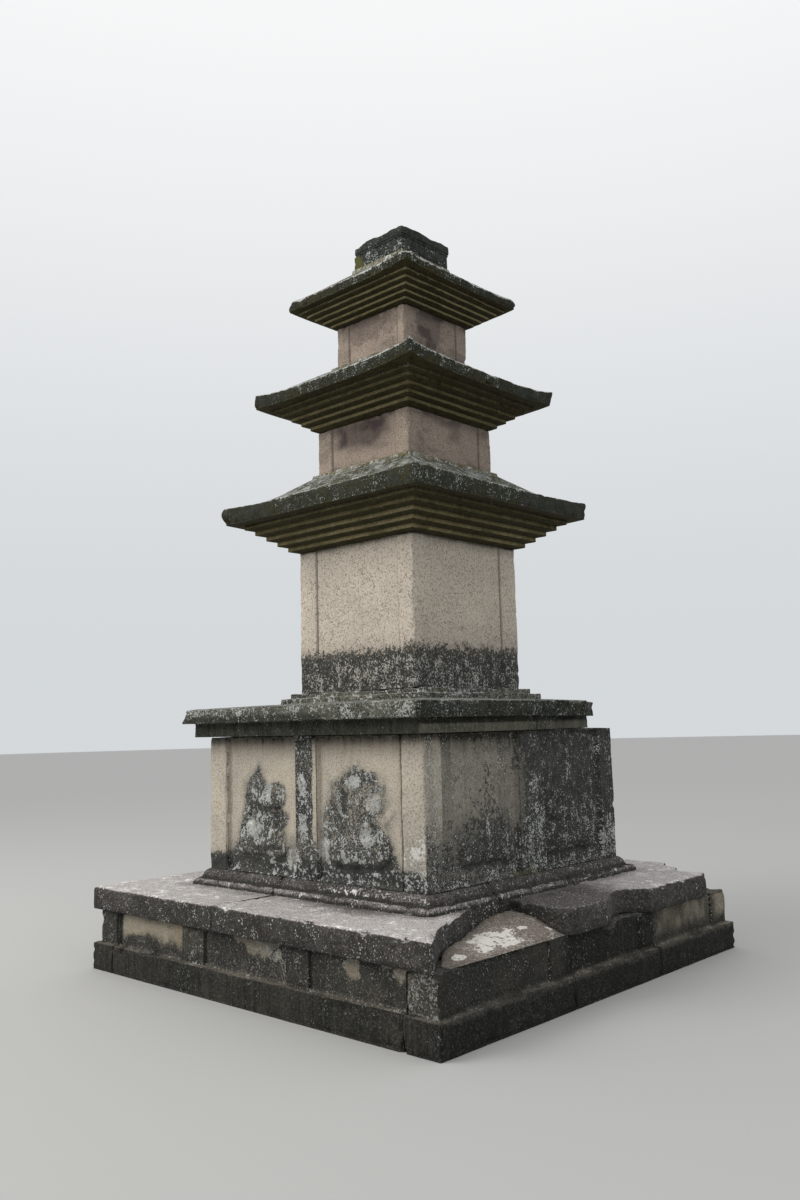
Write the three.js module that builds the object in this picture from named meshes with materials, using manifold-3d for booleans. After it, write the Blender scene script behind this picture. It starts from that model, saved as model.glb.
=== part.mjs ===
// Three-storey stone pagoda. Millimetres, +Z up, origin on the ground under the pagoda's axis.
// Front is -Y, right is +X. The near corner in the photograph is at +X, -Y.
import * as THREE from "three";
import { mergeVertices } from "three/addons/utils/BufferGeometryUtils.js";
import Module from "manifold-3d";

// Gaps between stones
const BED = 0.3;
const JOINT = 1.5;

// Lower base: plinth and low wall, cut from the same stones
const PLINTH_HALF = 1645;
const PLINTH_TOP = 185;
const LOW_WALL_HALF = 1603;
const LOW_WALL_TOP = 415;
const LOW_STONE_INNER = 1385;
const LOW_PANEL_DEPTH = 16;
const LOW_PANELS_FRONT = [[-1352, -608], [-369, 419], [628, 1383]];
const LOW_PANELS_SIDE = [[-1385, -620], [-390, 390], [620, 1385]];
const SIDE_JOINTS = [-435, 569];

// Slabs on the lower base, with the moulding carved on them
const SLAB_HALF = 1643;
const SLAB_BOTTOM = 415;
const SLAB_TOP = 571;
const MOULDING = [[1154, 571], [1154, 606], [1118, 626], [1092, 636], [1084, 660], [1058, 675]];
const MOULDING_TOP = 675;
const SLAB_JOINT_X = 245;
const SLAB_JOINT_Y = 483;

// Upper base walls
const UPPER_HALF = 1052;
const UPPER_BOTTOM = 675;
const UPPER_TOP = 1613;
const UPPER_STONE_INNER = 860;
const UPPER_PANEL_DEPTH = 30;
const UPPER_PANELS_FRONT = [[-860, -111], [107, 860]];
const UPPER_PANELS_SIDE = [[-887, -114], [169, 870]];

// Cap slabs on the upper base
const CAP_LEFT = -1203;
const CAP_RIGHT = 1140;
const CAP_FRONT = -1203;
const CAP_BACK = 1203;
const CAP_UNDER_DROP = 69;
const CAP_BOTTOM = 1613;
const CAP_EDGE_BOTTOM = 1712;
const CAP_EDGE_TOP = 1814;
const CAP_SLOPE_TOP = 1838;
const CAP_STEPS = [[693, 1880], [635, 1914]];
const CAP_JOINT_Y = 69;

// Storey bodies: half width, bottom, top, width of the corner pilasters, depth of the panels
const BODIES = [
  { name: "body_1", half: 578, bottom: 1914, top: 2970, pilaster: 176, depth: 14 },
  { name: "body_2", half: 470, bottom: 3563, top: 3899, pilaster: 150, depth: 12 },
  { name: "body_3", half: 357, bottom: 4410, top: 4727, pilaster: 130, depth: 10 },
];

// Roof stones: each has five stepped courses below, an eave, and a top that slopes up to a low step.
// Each eave and slope entry is half width, height at mid side, and lift at the corners.
const ROOFS = [
  {
    name: "roof_1",
    bottom: 2970,
    courses: [640, 698, 756, 815, 873],
    rise: 43.5,
    eave: [[969, 3180, 12], [979, 3250, 18], [983, 3299, 24]],
    swollen: 2,
    slope: [[890, 3316, 12], [800, 3355, 4], [700, 3410, 0], [620, 3460, 0], [560, 3500, 0], [506, 3538, 0]],
    step: 502,
    top: 3563,
  },
  {
    name: "roof_2",
    bottom: 3899,
    courses: [513, 563, 614, 668, 720],
    rise: 36,
    eave: [[808, 4072, 18], [826, 4160, 44]],
    slope: [[738, 4192, 14], [640, 4252, 4], [550, 4308, 0], [450, 4364, 0], [396, 4388, 0]],
    step: 392,
    top: 4410,
  },
  {
    name: "roof_3",
    bottom: 4727,
    courses: [398, 441, 484, 528, 571],
    rise: 28,
    eave: [[627, 4862, 8], [641, 4921, 20]],
    slope: [[573, 4966, 6], [470, 5035, 0], [375, 5103, 0], [300, 5156, 0], [276, 5172, 0]],
    step: 272,
    top: 5205,
  },
];

// Finial base on the top roof
const FINIAL_BODY_HALF = 262;
const FINIAL_FILLET_HALF = 267;
const FINIAL_RIM_HALF = 272;
const FINIAL_BOTTOM = 5205;
const FINIAL_BODY_TOP = 5312;
const FINIAL_FILLET_TOP = 5332;
const FINIAL_TOP = 5400;

// The top roof and the finial base have slipped a little to the right and back
const TOP_SLIP = 5;

// The left corner of the lowest roof bulges at half height
const CORNER_SWELL = 13;

// Rubble and mortar that slopes up to the two broken slabs: plan and height of its upper edge
const MORTAR_EDGE = [
  [1519, -1492, 417], [1592, -1500, 416], [1597, -1200, 419], [1597, -900, 419], [1597, -600, 417],
  [1597, -453, 417], [1573, -470, 440], [1515, -488, 472], [1430, -468, 490], [1343, -447, 498],
  [1255, -427, 505], [1162, -405, 508], [1162, -540, 508], [1164, -640, 495], [1166, -700, 482],
  [1174, -792, 458], [1204, -882, 446], [1274, -1008, 446], [1303, -1096, 450], [1355, -1234, 446],
  [1400, -1336, 428],
];

const wasm = await Module();
wasm.setup();

// A solid made from a closed three.js geometry.
function solidFrom(geometry) {
  const bare = geometry.clone();
  bare.deleteAttribute("normal");
  bare.deleteAttribute("uv");
  const merged = mergeVertices(bare, 1e-3);
  return new wasm.Manifold(new wasm.Mesh({
    numProp: 3,
    vertProperties: Float32Array.from(merged.attributes.position.array),
    triVerts: Uint32Array.from(merged.index.array),
  }));
}

// The three.js geometry of a solid.
function geometryFrom(solid) {
  const mesh = solid.getMesh();
  const count = mesh.numProp;
  const position = new Float32Array(mesh.numVert * 3);
  for (let i = 0; i < mesh.numVert; i++) {
    position.set(mesh.vertProperties.subarray(i * count, i * count + 3), i * 3);
  }
  const indexed = new THREE.BufferGeometry();
  indexed.setAttribute("position", new THREE.BufferAttribute(position, 3));
  indexed.setIndex(new THREE.BufferAttribute(Uint32Array.from(mesh.triVerts), 1));
  const flat = indexed.toNonIndexed();
  flat.computeVertexNormals();
  return flat;
}

function cut(body, ...tools) {
  return tools.reduce((left, tool) => left.subtract(tool), body);
}

function join(...bodies) {
  return bodies.reduce((sum, body) => sum.add(body));
}

// A box between two corners.
function block(x0, x1, y0, y1, z0, z1) {
  const box = new THREE.BoxGeometry(x1 - x0, y1 - y0, z1 - z0);
  box.translate((x0 + x1) / 2, (y0 + y1) / 2, (z0 + z1) / 2);
  return solidFrom(box);
}

// A square block round the axis.
function square(half, z0, z1) {
  return block(-half, half, -half, half, z0, z1);
}

// An outline carried straight up.
function column(outline, z0, z1) {
  const shape = new THREE.Shape(outline.map(([x, y]) => new THREE.Vector2(x, y)));
  const body = new THREE.ExtrudeGeometry(shape, { depth: z1 - z0, bevelEnabled: false });
  body.translate(0, 0, z0);
  return solidFrom(body);
}

// A closed body through rings that have the same number of points, lowest ring first.
function stack(rings) {
  const count = rings[0].length;
  const points = rings.flat().map((p) => new THREE.Vector3(...p));
  const index = [];
  for (let level = 0; level + 1 < rings.length; level++) {
    for (let i = 0; i < count; i++) {
      const a = level * count + i;
      const b = level * count + (i + 1) % count;
      index.push(a, b, b + count, a, b + count, a + count);
    }
  }
  for (const [level, turn] of [[0, 1], [rings.length - 1, 0]]) {
    const middle = new THREE.Vector3();
    rings[level].forEach((p) => middle.add(new THREE.Vector3(...p)));
    points.push(middle.divideScalar(count));
    for (let i = 0; i < count; i++) {
      const a = level * count + i;
      const b = level * count + (i + 1) % count;
      index.push(points.length - 1, turn ? b : a, turn ? a : b);
    }
  }
  const body = new THREE.BufferGeometry().setFromPoints(points);
  body.setIndex(index);
  return solidFrom(body);
}

// A square ring whose sides rise towards the corners.
function ring(half, z, lift, perSide) {
  const corners = [[-1, -1], [1, -1], [1, 1], [-1, 1]];
  const points = [];
  corners.forEach(([x0, y0], side) => {
    const [x1, y1] = corners[(side + 1) % 4];
    for (let i = 0; i < perSide; i++) {
      const t = i / perSide;
      const rise = lift * Math.abs(2 * t - 1) ** 4;
      points.push([half * (x0 + t * (x1 - x0)), half * (y0 + t * (y1 - y0)), z + rise]);
    }
  });
  return points;
}

// A rectangular ring.
function frameRing(x0, x1, y0, y1, z) {
  return [[x0, y0, z], [x1, y0, z], [x1, y1, z], [x0, y1, z]];
}

// The four tools that sink a row of panels in the four faces of a square body.
function panelTools(half, depth, rows, z0, z1) {
  const tools = [];
  for (const [a, b] of rows.front) {
    tools.push(block(a, b, -half - 50, -half + depth, z0, z1));
  }
  for (const [a, b] of rows.back) {
    tools.push(block(a, b, half - depth, half + 50, z0, z1));
  }
  for (const [a, b] of rows.right) {
    tools.push(block(half - depth, half + 50, a, b, z0, z1));
  }
  for (const [a, b] of rows.left) {
    tools.push(block(-half - 50, -half + depth, a, b, z0, z1));
  }
  return tools;
}

const granite = {
  base: new THREE.MeshStandardMaterial({ color: 0x6b675c, roughness: 0.93, metalness: 0 }),
  slab: new THREE.MeshStandardMaterial({ color: 0x7b7369, roughness: 0.93, metalness: 0 }),
  wall: new THREE.MeshStandardMaterial({ color: 0x8b8572, roughness: 0.92, metalness: 0 }),
  cap: new THREE.MeshStandardMaterial({ color: 0x77766c, roughness: 0.93, metalness: 0 }),
  body: new THREE.MeshStandardMaterial({ color: 0xa89f8b, roughness: 0.9, metalness: 0 }),
  upper: new THREE.MeshStandardMaterial({ color: 0x97857a, roughness: 0.9, metalness: 0 }),
  roof: new THREE.MeshStandardMaterial({ color: 0x59564b, roughness: 0.95, metalness: 0 }),
  finial: new THREE.MeshStandardMaterial({ color: 0x55544c, roughness: 0.95, metalness: 0 }),
  fill: new THREE.MeshStandardMaterial({ color: 0x6f6456, roughness: 0.97, metalness: 0 }),
};

const group = new THREE.Group();
group.name = "pagoda";

function place(name, solid, material) {
  const mesh = new THREE.Mesh(geometryFrom(solid), material);
  mesh.name = name;
  group.add(mesh);
}

// Lower base stones: the plinth course and the low wall course with its sunk panels
const plinthCourse = square(PLINTH_HALF, 0, PLINTH_TOP);
const lowWallCourse = cut(
  square(LOW_WALL_HALF, PLINTH_TOP - 1, LOW_WALL_TOP),
  ...panelTools(LOW_WALL_HALF, LOW_PANEL_DEPTH, {
    front: LOW_PANELS_FRONT,
    back: LOW_PANELS_FRONT,
    right: LOW_PANELS_SIDE,
    left: LOW_PANELS_SIDE,
  }, PLINTH_TOP, LOW_WALL_TOP + 10),
);
const hollow = square(LOW_STONE_INNER, -10, LOW_WALL_TOP + 10);
const lowCourse = cut(join(plinthCourse, lowWallCourse), hollow);

// The top of the right-hand middle stone is worn into a pit.
const wallPit = stack([
  frameRing(1560, 1700, -15, 105, 372),
  frameRing(1500, 1700, -45, 130, LOW_WALL_TOP + 5),
]);

const reach = PLINTH_HALF + 20;
const inner = LOW_STONE_INNER;
const lowPlans = {
  base_stone_front: [-inner + JOINT, inner - JOINT, -reach, -inner + 60],
  base_stone_back: [-inner + JOINT, inner - JOINT, inner - 60, reach],
};
const sideBreaks = [-reach, ...SIDE_JOINTS, reach];
["near", "mid", "far"].forEach((word, i) => {
  const y0 = sideBreaks[i] + (i > 0 ? JOINT : 0);
  const y1 = sideBreaks[i + 1] - (i < 2 ? JOINT : 0);
  lowPlans["base_stone_right_" + word] = [inner, reach, y0, y1];
  lowPlans["base_stone_left_" + word] = [-reach, -inner, y0, y1];
});
for (const [name, [x0, x1, y0, y1]] of Object.entries(lowPlans)) {
  let stone = lowCourse.intersect(block(x0, x1, y0, y1, -5, LOW_WALL_TOP + 20));
  if (name === "base_stone_right_mid") stone = cut(stone, wallPit);
  place(name, stone, granite.base);
}

// Rubble fill inside the lower base, with the part that rises between the slabs and the mortar on the right,
// which lies on the low wall and runs into the fill behind it
const mortar = stack([
  MORTAR_EDGE.map(([x, y]) => [x, y, LOW_WALL_TOP + BED]),
  MORTAR_EDGE,
]);
const mortarRoot = column(MORTAR_EDGE, LOW_WALL_TOP - 20, LOW_WALL_TOP + 1)
  .intersect(square(LOW_STONE_INNER - BED, 0, MOULDING_TOP));
const lowerFill = join(
  square(LOW_STONE_INNER - BED, 0, LOW_WALL_TOP),
  block(
    -SLAB_JOINT_X + BED, SLAB_JOINT_X - BED,
    -SLAB_JOINT_Y + BED, SLAB_JOINT_Y - BED,
    LOW_WALL_TOP - 1, MOULDING_TOP,
  ),
  mortarRoot,
  mortar,
);
place("lower_fill", lowerFill, granite.fill);

// Lower slabs: one course, divided like a pinwheel, with the two broken stones on the right
const slabCourse = join(
  square(SLAB_HALF, SLAB_BOTTOM + BED, SLAB_TOP),
  stack([
    ring(MOULDING[0][0], SLAB_TOP - 20, 0, 1),
    ...MOULDING.slice(1).map(([half, z]) => ring(half, z, 0, 1)),
  ]),
);
const far = SLAB_HALF + 20;
const jx = SLAB_JOINT_X;
const jy = SLAB_JOINT_Y;
const slabPlans = {
  slab_front: [
    [-jx + JOINT, -far], [1608, -far], [1590, -1610], [1513, -1500], [1391, -1334], [1346, -1232],
    [1294, -1094], [1265, -1006], [1195, -880], [1165, -790], [1157, -700], [1157, -jy - JOINT],
    [-jx + JOINT, -jy - JOINT],
  ],
  slab_right: [
    [jx, -jy + JOINT], [1157, -jy + JOINT], [1157, -400], [1250, -421], [1341, -442], [1429, -463],
    [1515, -483], [1572, -465], [1620, -432], [1640, -395], [1644, -61], [1589, 75], [1526, 214],
    [1497, 311], [1514, 370], [1583, 442], [1636, 478], [far, 584], [far, 1250], [1600, 1322],
    [1420, 1290], [1330, 1420], [1180, 1520], [1120, far], [jx + JOINT, far], [jx + JOINT, jy], [jx, jy],
  ],
  slab_back: [
    [jx - JOINT, far], [-far, far], [-far, jy + JOINT], [-jx, jy + JOINT], [-jx, jy], [jx - JOINT, jy],
  ],
  slab_left: [
    [-jx - JOINT, -far], [-jx - JOINT, -jy], [-jx, -jy], [-jx, jy - JOINT], [-far, jy - JOINT], [-far, -far],
  ],
};
// The underside of the broken slab, where it has come away above the middle stone
const slabPit = stack([
  frameRing(1420, 1700, -345, 560, SLAB_BOTTOM - 5),
  frameRing(1480, 1700, -140, 430, 465),
  frameRing(1590, 1700, -40, 110, 520),
]);
for (const [name, plan] of Object.entries(slabPlans)) {
  let stone = slabCourse.intersect(column(plan, SLAB_BOTTOM - 10, MOULDING_TOP + 10));
  if (name === "slab_right") stone = cut(stone, slabPit);
  place(name, stone, granite.slab);
}

// Upper base: two full side walls, and a front and a back wall between them
const upperCourse = cut(
  square(UPPER_HALF, UPPER_BOTTOM + BED, UPPER_TOP),
  ...panelTools(UPPER_HALF, UPPER_PANEL_DEPTH, {
    front: UPPER_PANELS_FRONT,
    back: UPPER_PANELS_FRONT,
    right: UPPER_PANELS_SIDE,
    left: UPPER_PANELS_SIDE,
  }, UPPER_BOTTOM + 12, UPPER_TOP - 12),
  square(UPPER_STONE_INNER, UPPER_BOTTOM - 10, UPPER_TOP + 10),
);
const side = UPPER_HALF + 20;
const core = UPPER_STONE_INNER;
const upperPlans = {
  wall_front: [-core + JOINT, core - JOINT, -side, -core + 40],
  wall_right: [core, side, -side, side],
  wall_back: [-core + JOINT, core - JOINT, core - 40, side],
  wall_left: [-side, -core, -side, side],
};
for (const [name, [x0, x1, y0, y1]] of Object.entries(upperPlans)) {
  const stone = upperCourse.intersect(block(x0, x1, y0, y1, UPPER_BOTTOM - 5, UPPER_TOP + 5));
  place(name, stone, granite.wall);
}
place("upper_fill", square(UPPER_STONE_INNER - BED, UPPER_BOTTOM + BED, UPPER_TOP), granite.fill);

// Cap slabs: an under-fillet, a straight edge, a sloped top and the two low steps under the first storey
const capCourse = join(
  stack([
    frameRing(
      CAP_LEFT + CAP_UNDER_DROP, CAP_RIGHT - CAP_UNDER_DROP + 24,
      CAP_FRONT + CAP_UNDER_DROP, CAP_BACK - CAP_UNDER_DROP, CAP_BOTTOM + BED,
    ),
    frameRing(
      CAP_LEFT + CAP_UNDER_DROP, CAP_RIGHT - CAP_UNDER_DROP + 24,
      CAP_FRONT + CAP_UNDER_DROP, CAP_BACK - CAP_UNDER_DROP, CAP_EDGE_BOTTOM + 5,
    ),
  ]),
  stack([
    frameRing(CAP_LEFT, CAP_RIGHT, CAP_FRONT, CAP_BACK, CAP_EDGE_BOTTOM),
    frameRing(CAP_LEFT, CAP_RIGHT, CAP_FRONT, CAP_BACK, CAP_EDGE_TOP),
    frameRing(-720, 720, -720, 720, CAP_SLOPE_TOP),
  ]),
  square(CAP_STEPS[0][0], CAP_EDGE_TOP - 20, CAP_STEPS[0][1]),
  square(CAP_STEPS[1][0], CAP_EDGE_TOP - 20, CAP_STEPS[1][1]),
);
const capPlans = {
  cap_near: [
    [-1300, -1300], [1300, -1300], [1300, CAP_JOINT_Y - JOINT], [-1300, CAP_JOINT_Y - JOINT],
  ],
  cap_far: [
    [-1300, CAP_JOINT_Y + JOINT], [CAP_RIGHT - 2, CAP_JOINT_Y + JOINT], [1104, 190], [1122, 330],
    [CAP_RIGHT - 12, 560], [1090, 690], [985, 800], [960, 930], [865, 1040], [820, 1300], [-1300, 1300],
  ],
};
for (const [name, plan] of Object.entries(capPlans)) {
  place(name, capCourse.intersect(column(plan, CAP_BOTTOM - 10, CAP_STEPS[1][1] + 10)), granite.cap);
}

// Storey bodies: one stone each, with a sunk panel between corner pilasters on every face
BODIES.forEach(({ name, half, bottom, top, pilaster, depth }, storey) => {
  const span = [[-half + pilaster, half - pilaster]];
  const rows = { front: span, back: span, right: span, left: span };
  const stone = cut(
    square(half, bottom + BED, top),
    ...panelTools(half, depth, rows, bottom - 5, top + 5),
  );
  place(name, stone, storey === 0 ? granite.body : granite.upper);
});

// Roof stones
for (const roof of ROOFS) {
  const soffit = roof.bottom + roof.rise * roof.courses.length;
  const courses = roof.courses.map((half, i) => square(half, roof.bottom + roof.rise * i + (i ? -1 : BED),
    roof.bottom + roof.rise * (i + 1)));
  const rings = [
    [roof.courses[4], soffit - 1.5, 0],
    ...roof.eave,
    ...roof.slope,
    [roof.step + 3, roof.slope[roof.slope.length - 1][1] + 3, 0],
    [roof.step, roof.top, 0],
  ].map(([half, z, lift]) => ring(half, z, lift, 8));
  if (roof.swollen) {
    const corner = rings[roof.swollen][0];
    corner[0] -= CORNER_SWELL;
    corner[1] -= CORNER_SWELL;
  }
  const slip = roof.name === "roof_3" ? TOP_SLIP : 0;
  place(roof.name, join(stack(rings), ...courses).translate([slip, slip, 0]), granite.roof);
}

// Finial base: a square block with a fillet and a wider rim, its left corner chipped
const finial = join(
  square(FINIAL_BODY_HALF, FINIAL_BOTTOM + BED, FINIAL_BODY_TOP + 1),
  square(FINIAL_FILLET_HALF, FINIAL_BODY_TOP, FINIAL_FILLET_TOP + 1),
  square(FINIAL_RIM_HALF, FINIAL_FILLET_TOP, FINIAL_TOP),
);
const rimChip = column([[-300, -210], [-262, -225], [-262, -262], [-200, -262], [-150, -300], [-300, -300]],
  FINIAL_BODY_TOP + 6, FINIAL_TOP + 10);
const cornerDip = column([[-300, -200], [-230, -215], [-150, -300], [-300, -300]],
  FINIAL_TOP - 16, FINIAL_TOP + 10);
place("finial_base", cut(finial, rimChip, cornerDip).translate([TOP_SLIP, TOP_SLIP, 0]), granite.finial);

export default group;
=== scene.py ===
"""A weathered three-storey granite pagoda on a two-level base.

Every stone is a surface worked out with arrays, in millimetres, and written in metres. It stands for the
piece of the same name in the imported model. The front is -Y, the right is +X, and the corner nearest the
camera is at +X, -Y.
"""

import math
from functools import reduce

import bpy
import numpy as np
from mathutils import Matrix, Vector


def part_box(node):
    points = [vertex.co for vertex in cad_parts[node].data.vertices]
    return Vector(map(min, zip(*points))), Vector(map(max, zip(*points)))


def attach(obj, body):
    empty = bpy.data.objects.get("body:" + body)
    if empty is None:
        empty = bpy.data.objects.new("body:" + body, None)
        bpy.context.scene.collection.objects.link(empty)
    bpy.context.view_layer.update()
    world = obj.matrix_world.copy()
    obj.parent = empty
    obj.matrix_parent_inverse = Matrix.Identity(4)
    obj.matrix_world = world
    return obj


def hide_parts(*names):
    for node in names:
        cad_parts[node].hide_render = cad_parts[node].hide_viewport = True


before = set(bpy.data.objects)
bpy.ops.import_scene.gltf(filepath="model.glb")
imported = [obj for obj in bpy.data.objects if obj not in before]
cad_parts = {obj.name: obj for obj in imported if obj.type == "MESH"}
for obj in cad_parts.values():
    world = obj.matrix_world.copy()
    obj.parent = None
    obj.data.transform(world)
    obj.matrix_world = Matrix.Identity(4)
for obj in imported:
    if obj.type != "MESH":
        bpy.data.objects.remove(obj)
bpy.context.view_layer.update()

MM = 0.001
SKIN = 0.05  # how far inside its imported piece's box a stone stays
SIDES = ("front", "right", "back", "left")
SHOWN = ("front", "right")


# Numbers that repeat on every run, and masks from 0 to 1


def lattice(cells, seed):
    """Random numbers from 0 to 1 for whole-number cells: the three indices are multiplied by large odd
    numbers, the sum is mixed by shifts, and its low 24 bits are kept."""
    h = cells[..., 0] * 374761393 + cells[..., 1] * 668265263 + cells[..., 2] * 1274126177 + seed * 97531
    h = h & 0xFFFFFFFF
    h = ((h ^ (h >> 13)) * 1103515245) & 0xFFFFFFFF
    h = ((h ^ (h >> 15)) * 739982445) & 0xFFFFFFFF
    return ((h ^ (h >> 12)) & 0xFFFFFF) / 0xFFFFFF


def noise(points, size, seed=0, octaves=3):
    """Smooth noise from -1 to 1. Each octave blends the eight corners of the cell round a point with the
    weight 3t^2 - 2t^3, and the next octave has half the cell size and half the height."""
    total, height, span = 0.0, 1.0, 0.0
    for k in range(octaves):
        q = points * (2**k / size) + 31.7 * (k + 1)
        cell = np.floor(q).astype(np.int64)
        t = q - cell
        t = t * t * (3 - 2 * t)
        value = 0.0
        for corner in np.ndindex(2, 2, 2):
            weight = np.prod(np.where(corner, t, 1 - t), axis=-1)
            value = value + weight * lattice(cell + np.array(corner), seed + 7 * k)
        total = total + height * (2 * value - 1)
        span += height
        height /= 2
    return total / span


def ease(value, low, high):
    """0 below low, 1 above high, and 3t^2 - 2t^3 between."""
    t = np.clip((np.asarray(value, float) - low) / (high - low), 0, 1)
    return t * t * (3 - 2 * t)


def fall(value, low, high):
    """1 below low and 0 above high."""
    return 1 - ease(value, low, high)


def within(value, low, high, soft=10.0):
    """1 between low and high, with soft ends."""
    return ease(value, low - soft, low + soft) * fall(value, high - soft, high + soft)


def most(*masks):
    """The largest of several masks at each point."""
    return reduce(np.maximum, masks)


def facing(n, low=0.3, high=0.8):
    """Four masks: where the normals face the front, the right, the back and the left."""
    return [ease(v, low, high) for v in (-n[:, 1], n[:, 0], n[:, 1], -n[:, 0])]


def blot(u, v, corners, soft=12.0, sway=0.0):
    """1 inside a closed outline and 0 outside it. The distance to the nearest edge, counted as negative
    outside, has the sway added, and a soft step at zero turns it into the mask. A point is inside if a ray
    from it crosses an odd number of edges."""
    near, inside = np.full(u.shape, 1e9), np.zeros(u.shape, bool)
    for (ax, ay), (bx, by) in zip(corners, corners[1:] + corners[:1]):
        run = (bx - ax) ** 2 + (by - ay) ** 2
        t = np.clip(((u - ax) * (bx - ax) + (v - ay) * (by - ay)) / run, 0, 1)
        near = np.minimum(near, np.hypot(u - ax - t * (bx - ax), v - ay - t * (by - ay)))
        if ay != by:
            inside ^= ((ay > v) != (by > v)) & (u < ax + (v - ay) * (bx - ax) / (by - ay))
    return ease(np.where(inside, near, -near) + sway, -soft, soft)


def oval(u, v, shape, sway=0.0):
    """1 inside an ellipse, given as its middle and radii, and 0 outside it, with an edge shifted by the
    sway in parts of the radius."""
    at_u, at_v, reach_u, reach_v = shape
    return fall(np.hypot((u - at_u) / reach_u, (v - at_v) / reach_v) + sway, 0.75, 1.15)


def ovals(u, v, shapes, sway):
    """1 inside any of several ellipses."""
    return most(*(oval(u, v, shape, sway) for shape in shapes))


# Surfaces


def dense(rows, steps, soften):
    """Control rows joined by straight runs of points at most one step apart. Each inner corner becomes a
    short arc: the run stops `soften` before it, and the arc's middle is a quarter of each end plus half the
    corner."""
    rows = np.array(rows, float)
    runs = np.diff(rows, axis=0)
    steps = np.broadcast_to(steps, len(runs))
    out = []
    for i, (run, length) in enumerate(zip(runs, np.abs(runs).max(1))):
        head = min(soften[i], 0.45 * length) if i else 0.0
        tail = min(soften[i + 1], 0.45 * length) if i + 1 < len(runs) else 0.0
        count = max(1, math.ceil((length - head - tail) / steps[i]))
        t = np.linspace(head / length, 1 - tail / length, count + 1)
        part = rows[i] + t[:, None] * run
        if out:
            out.append((0.25 * out[-1][-1] + 0.5 * rows[i] + 0.25 * part[0])[None])
        out.append(part)
    return np.concatenate(out)


def shrunk(box, z, keep=4.0):
    """A rectangle's row drawn in until its narrow side is twice `keep` wide: the middle of a flat bed."""
    inset = 0.5 * min(box[1] - box[0], box[3] - box[2]) - keep
    return [box[0] + inset, box[1] - inset, box[2] + inset, box[3] - inset, z]


def block_rows(box, low, high, steps, soften, keep=3):
    """The rows of a plain block, from the middle of its lower bed to the middle of its upper one."""
    rows = [shrunk(box, low, keep), [*box, low], [*box, high], shrunk(box, high, keep)]
    return dense(rows, steps, [0, *soften, 0])


def stops(start, end, step, marks=()):
    """Fractions from 0 to 1 along a side that runs from start to end, at most one step apart, with three
    close together at each mark, so that a sunk edge there stays sharp."""
    low, high = sorted((start, end))
    places = sorted({low, high} | {p for mark in marks for p in (mark - 4, mark, mark + 4) if low < p < high})
    runs = [np.linspace(a, b, math.ceil((b - a) / step), endpoint=False) for a, b in zip(places, places[1:])]
    share = (np.concatenate([*runs, [high]]) - low) / (high - low)
    return share if end > start else 1 - share[::-1]


def rings(rows, box, steps, radius, sharp=((),) * 4):
    """Rings round rectangles with rounded corners. rows hold x0, x1, y0, y1 and height; steps and sharp say
    for the front, right, back and left side of the box how close its points are and where they crowd. Gives
    the points, the side each belongs to (-1 at a corner) and how far along its side it is."""
    spans = [(box[0], box[1]), (box[2], box[3]), (box[1], box[0]), (box[3], box[2])]
    x0, x1, y0, y1, z = (rows[:, i : i + 1] for i in range(5))
    r = np.minimum(radius, 0.45 * np.minimum(x1 - x0, y1 - y0))
    a0, a1, b0, b1 = x0 + r, x1 - r, y0 + r, y1 - r
    ends = [(a0, y0, a1, y0), (x1, b0, x1, b1), (a1, y1, a0, y1), (x0, b1, x0, b0)]
    centres = [(a1, b0), (a1, b1), (a0, b1), (a0, b0)]
    xs, ys, side, share = [], [], [], []
    for i, (bx, by, ex, ey) in enumerate(ends):
        fractions = stops(*spans[i], steps[i], sharp[i])
        turn = np.radians(90 * i - 90 + np.array([18.0, 45.0, 72.0]))
        xs += [bx + fractions * (ex - bx), centres[i][0] + r * np.cos(turn)]
        ys += [by + fractions * (ey - by), centres[i][1] + r * np.sin(turn)]
        side += [i] * len(fractions) + [-1] * 3
        share += [*fractions, 1.0, 1.0, 1.0]
    x, y = np.concatenate(xs, 1), np.concatenate(ys, 1)
    return np.stack([x, y, np.broadcast_to(z, x.shape)], -1), np.array(side), np.array(share)


def square_rings(half, z, widest, steps, radius):
    """Rings round squares of the half widths and heights, and how far along its side each point is."""
    rows = np.concatenate([-half, half, -half, half, z], 1)
    grid, _, share = rings(rows, [-widest, widest] * 2, steps, radius)
    return grid, share


def outline_rings(outline, rows, centre, wear=1.0):
    """Rings round an uneven outline that can be seen whole from its centre. Each row is a scale, an inset
    and a height: a point is drawn towards the centre to the scale, and then by the inset where the wear is
    1."""
    centre = np.array(centre, float)
    away = outline - centre
    reach = np.linalg.norm(away, axis=1)
    scale, inset, z = np.array(rows, float).T[..., None]
    flat = centre + away * (scale - inset * wear / reach)[..., None]
    return np.concatenate([flat, np.broadcast_to(z[..., None], flat.shape[:2] + (1,))], -1)


def resampled(corners, step, rough, seed):
    """A closed outline through the corners, counter-clockwise, with points about one step apart. rough says
    for each run how far its points stray inwards, by smooth noise. Gives the points and each one's run."""
    corners = np.array(corners, float)
    out, run = [], []
    for i, (a, b) in enumerate(zip(corners, np.roll(corners, -1, 0))):
        length = np.linalg.norm(b - a)
        count = max(1, round(length / step))
        t = np.arange(count)[:, None] / count
        points = a + t * (b - a)
        inwards = np.array([a[1] - b[1], b[0] - a[0]]) / length
        sway = 0.5 + 0.5 * noise(np.c_[points, np.zeros(len(points))], 130, seed)[:, None]
        out.append(points + inwards * sway * np.minimum(1, np.minimum(t, 1 - t) * length / 40) * rough[i])
        run += [i] * count
    return np.concatenate(out), np.array(run)


def normals(grid):
    """Outward unit normals of a grid that runs counter-clockwise round and upwards: the cross product of
    the step round it and the step up it."""
    n = np.cross(np.roll(grid, -1, 1) - np.roll(grid, 1, 1), np.gradient(grid, axis=0))
    return n / (np.linalg.norm(n, axis=-1, keepdims=True) + 1e-9)


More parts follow.
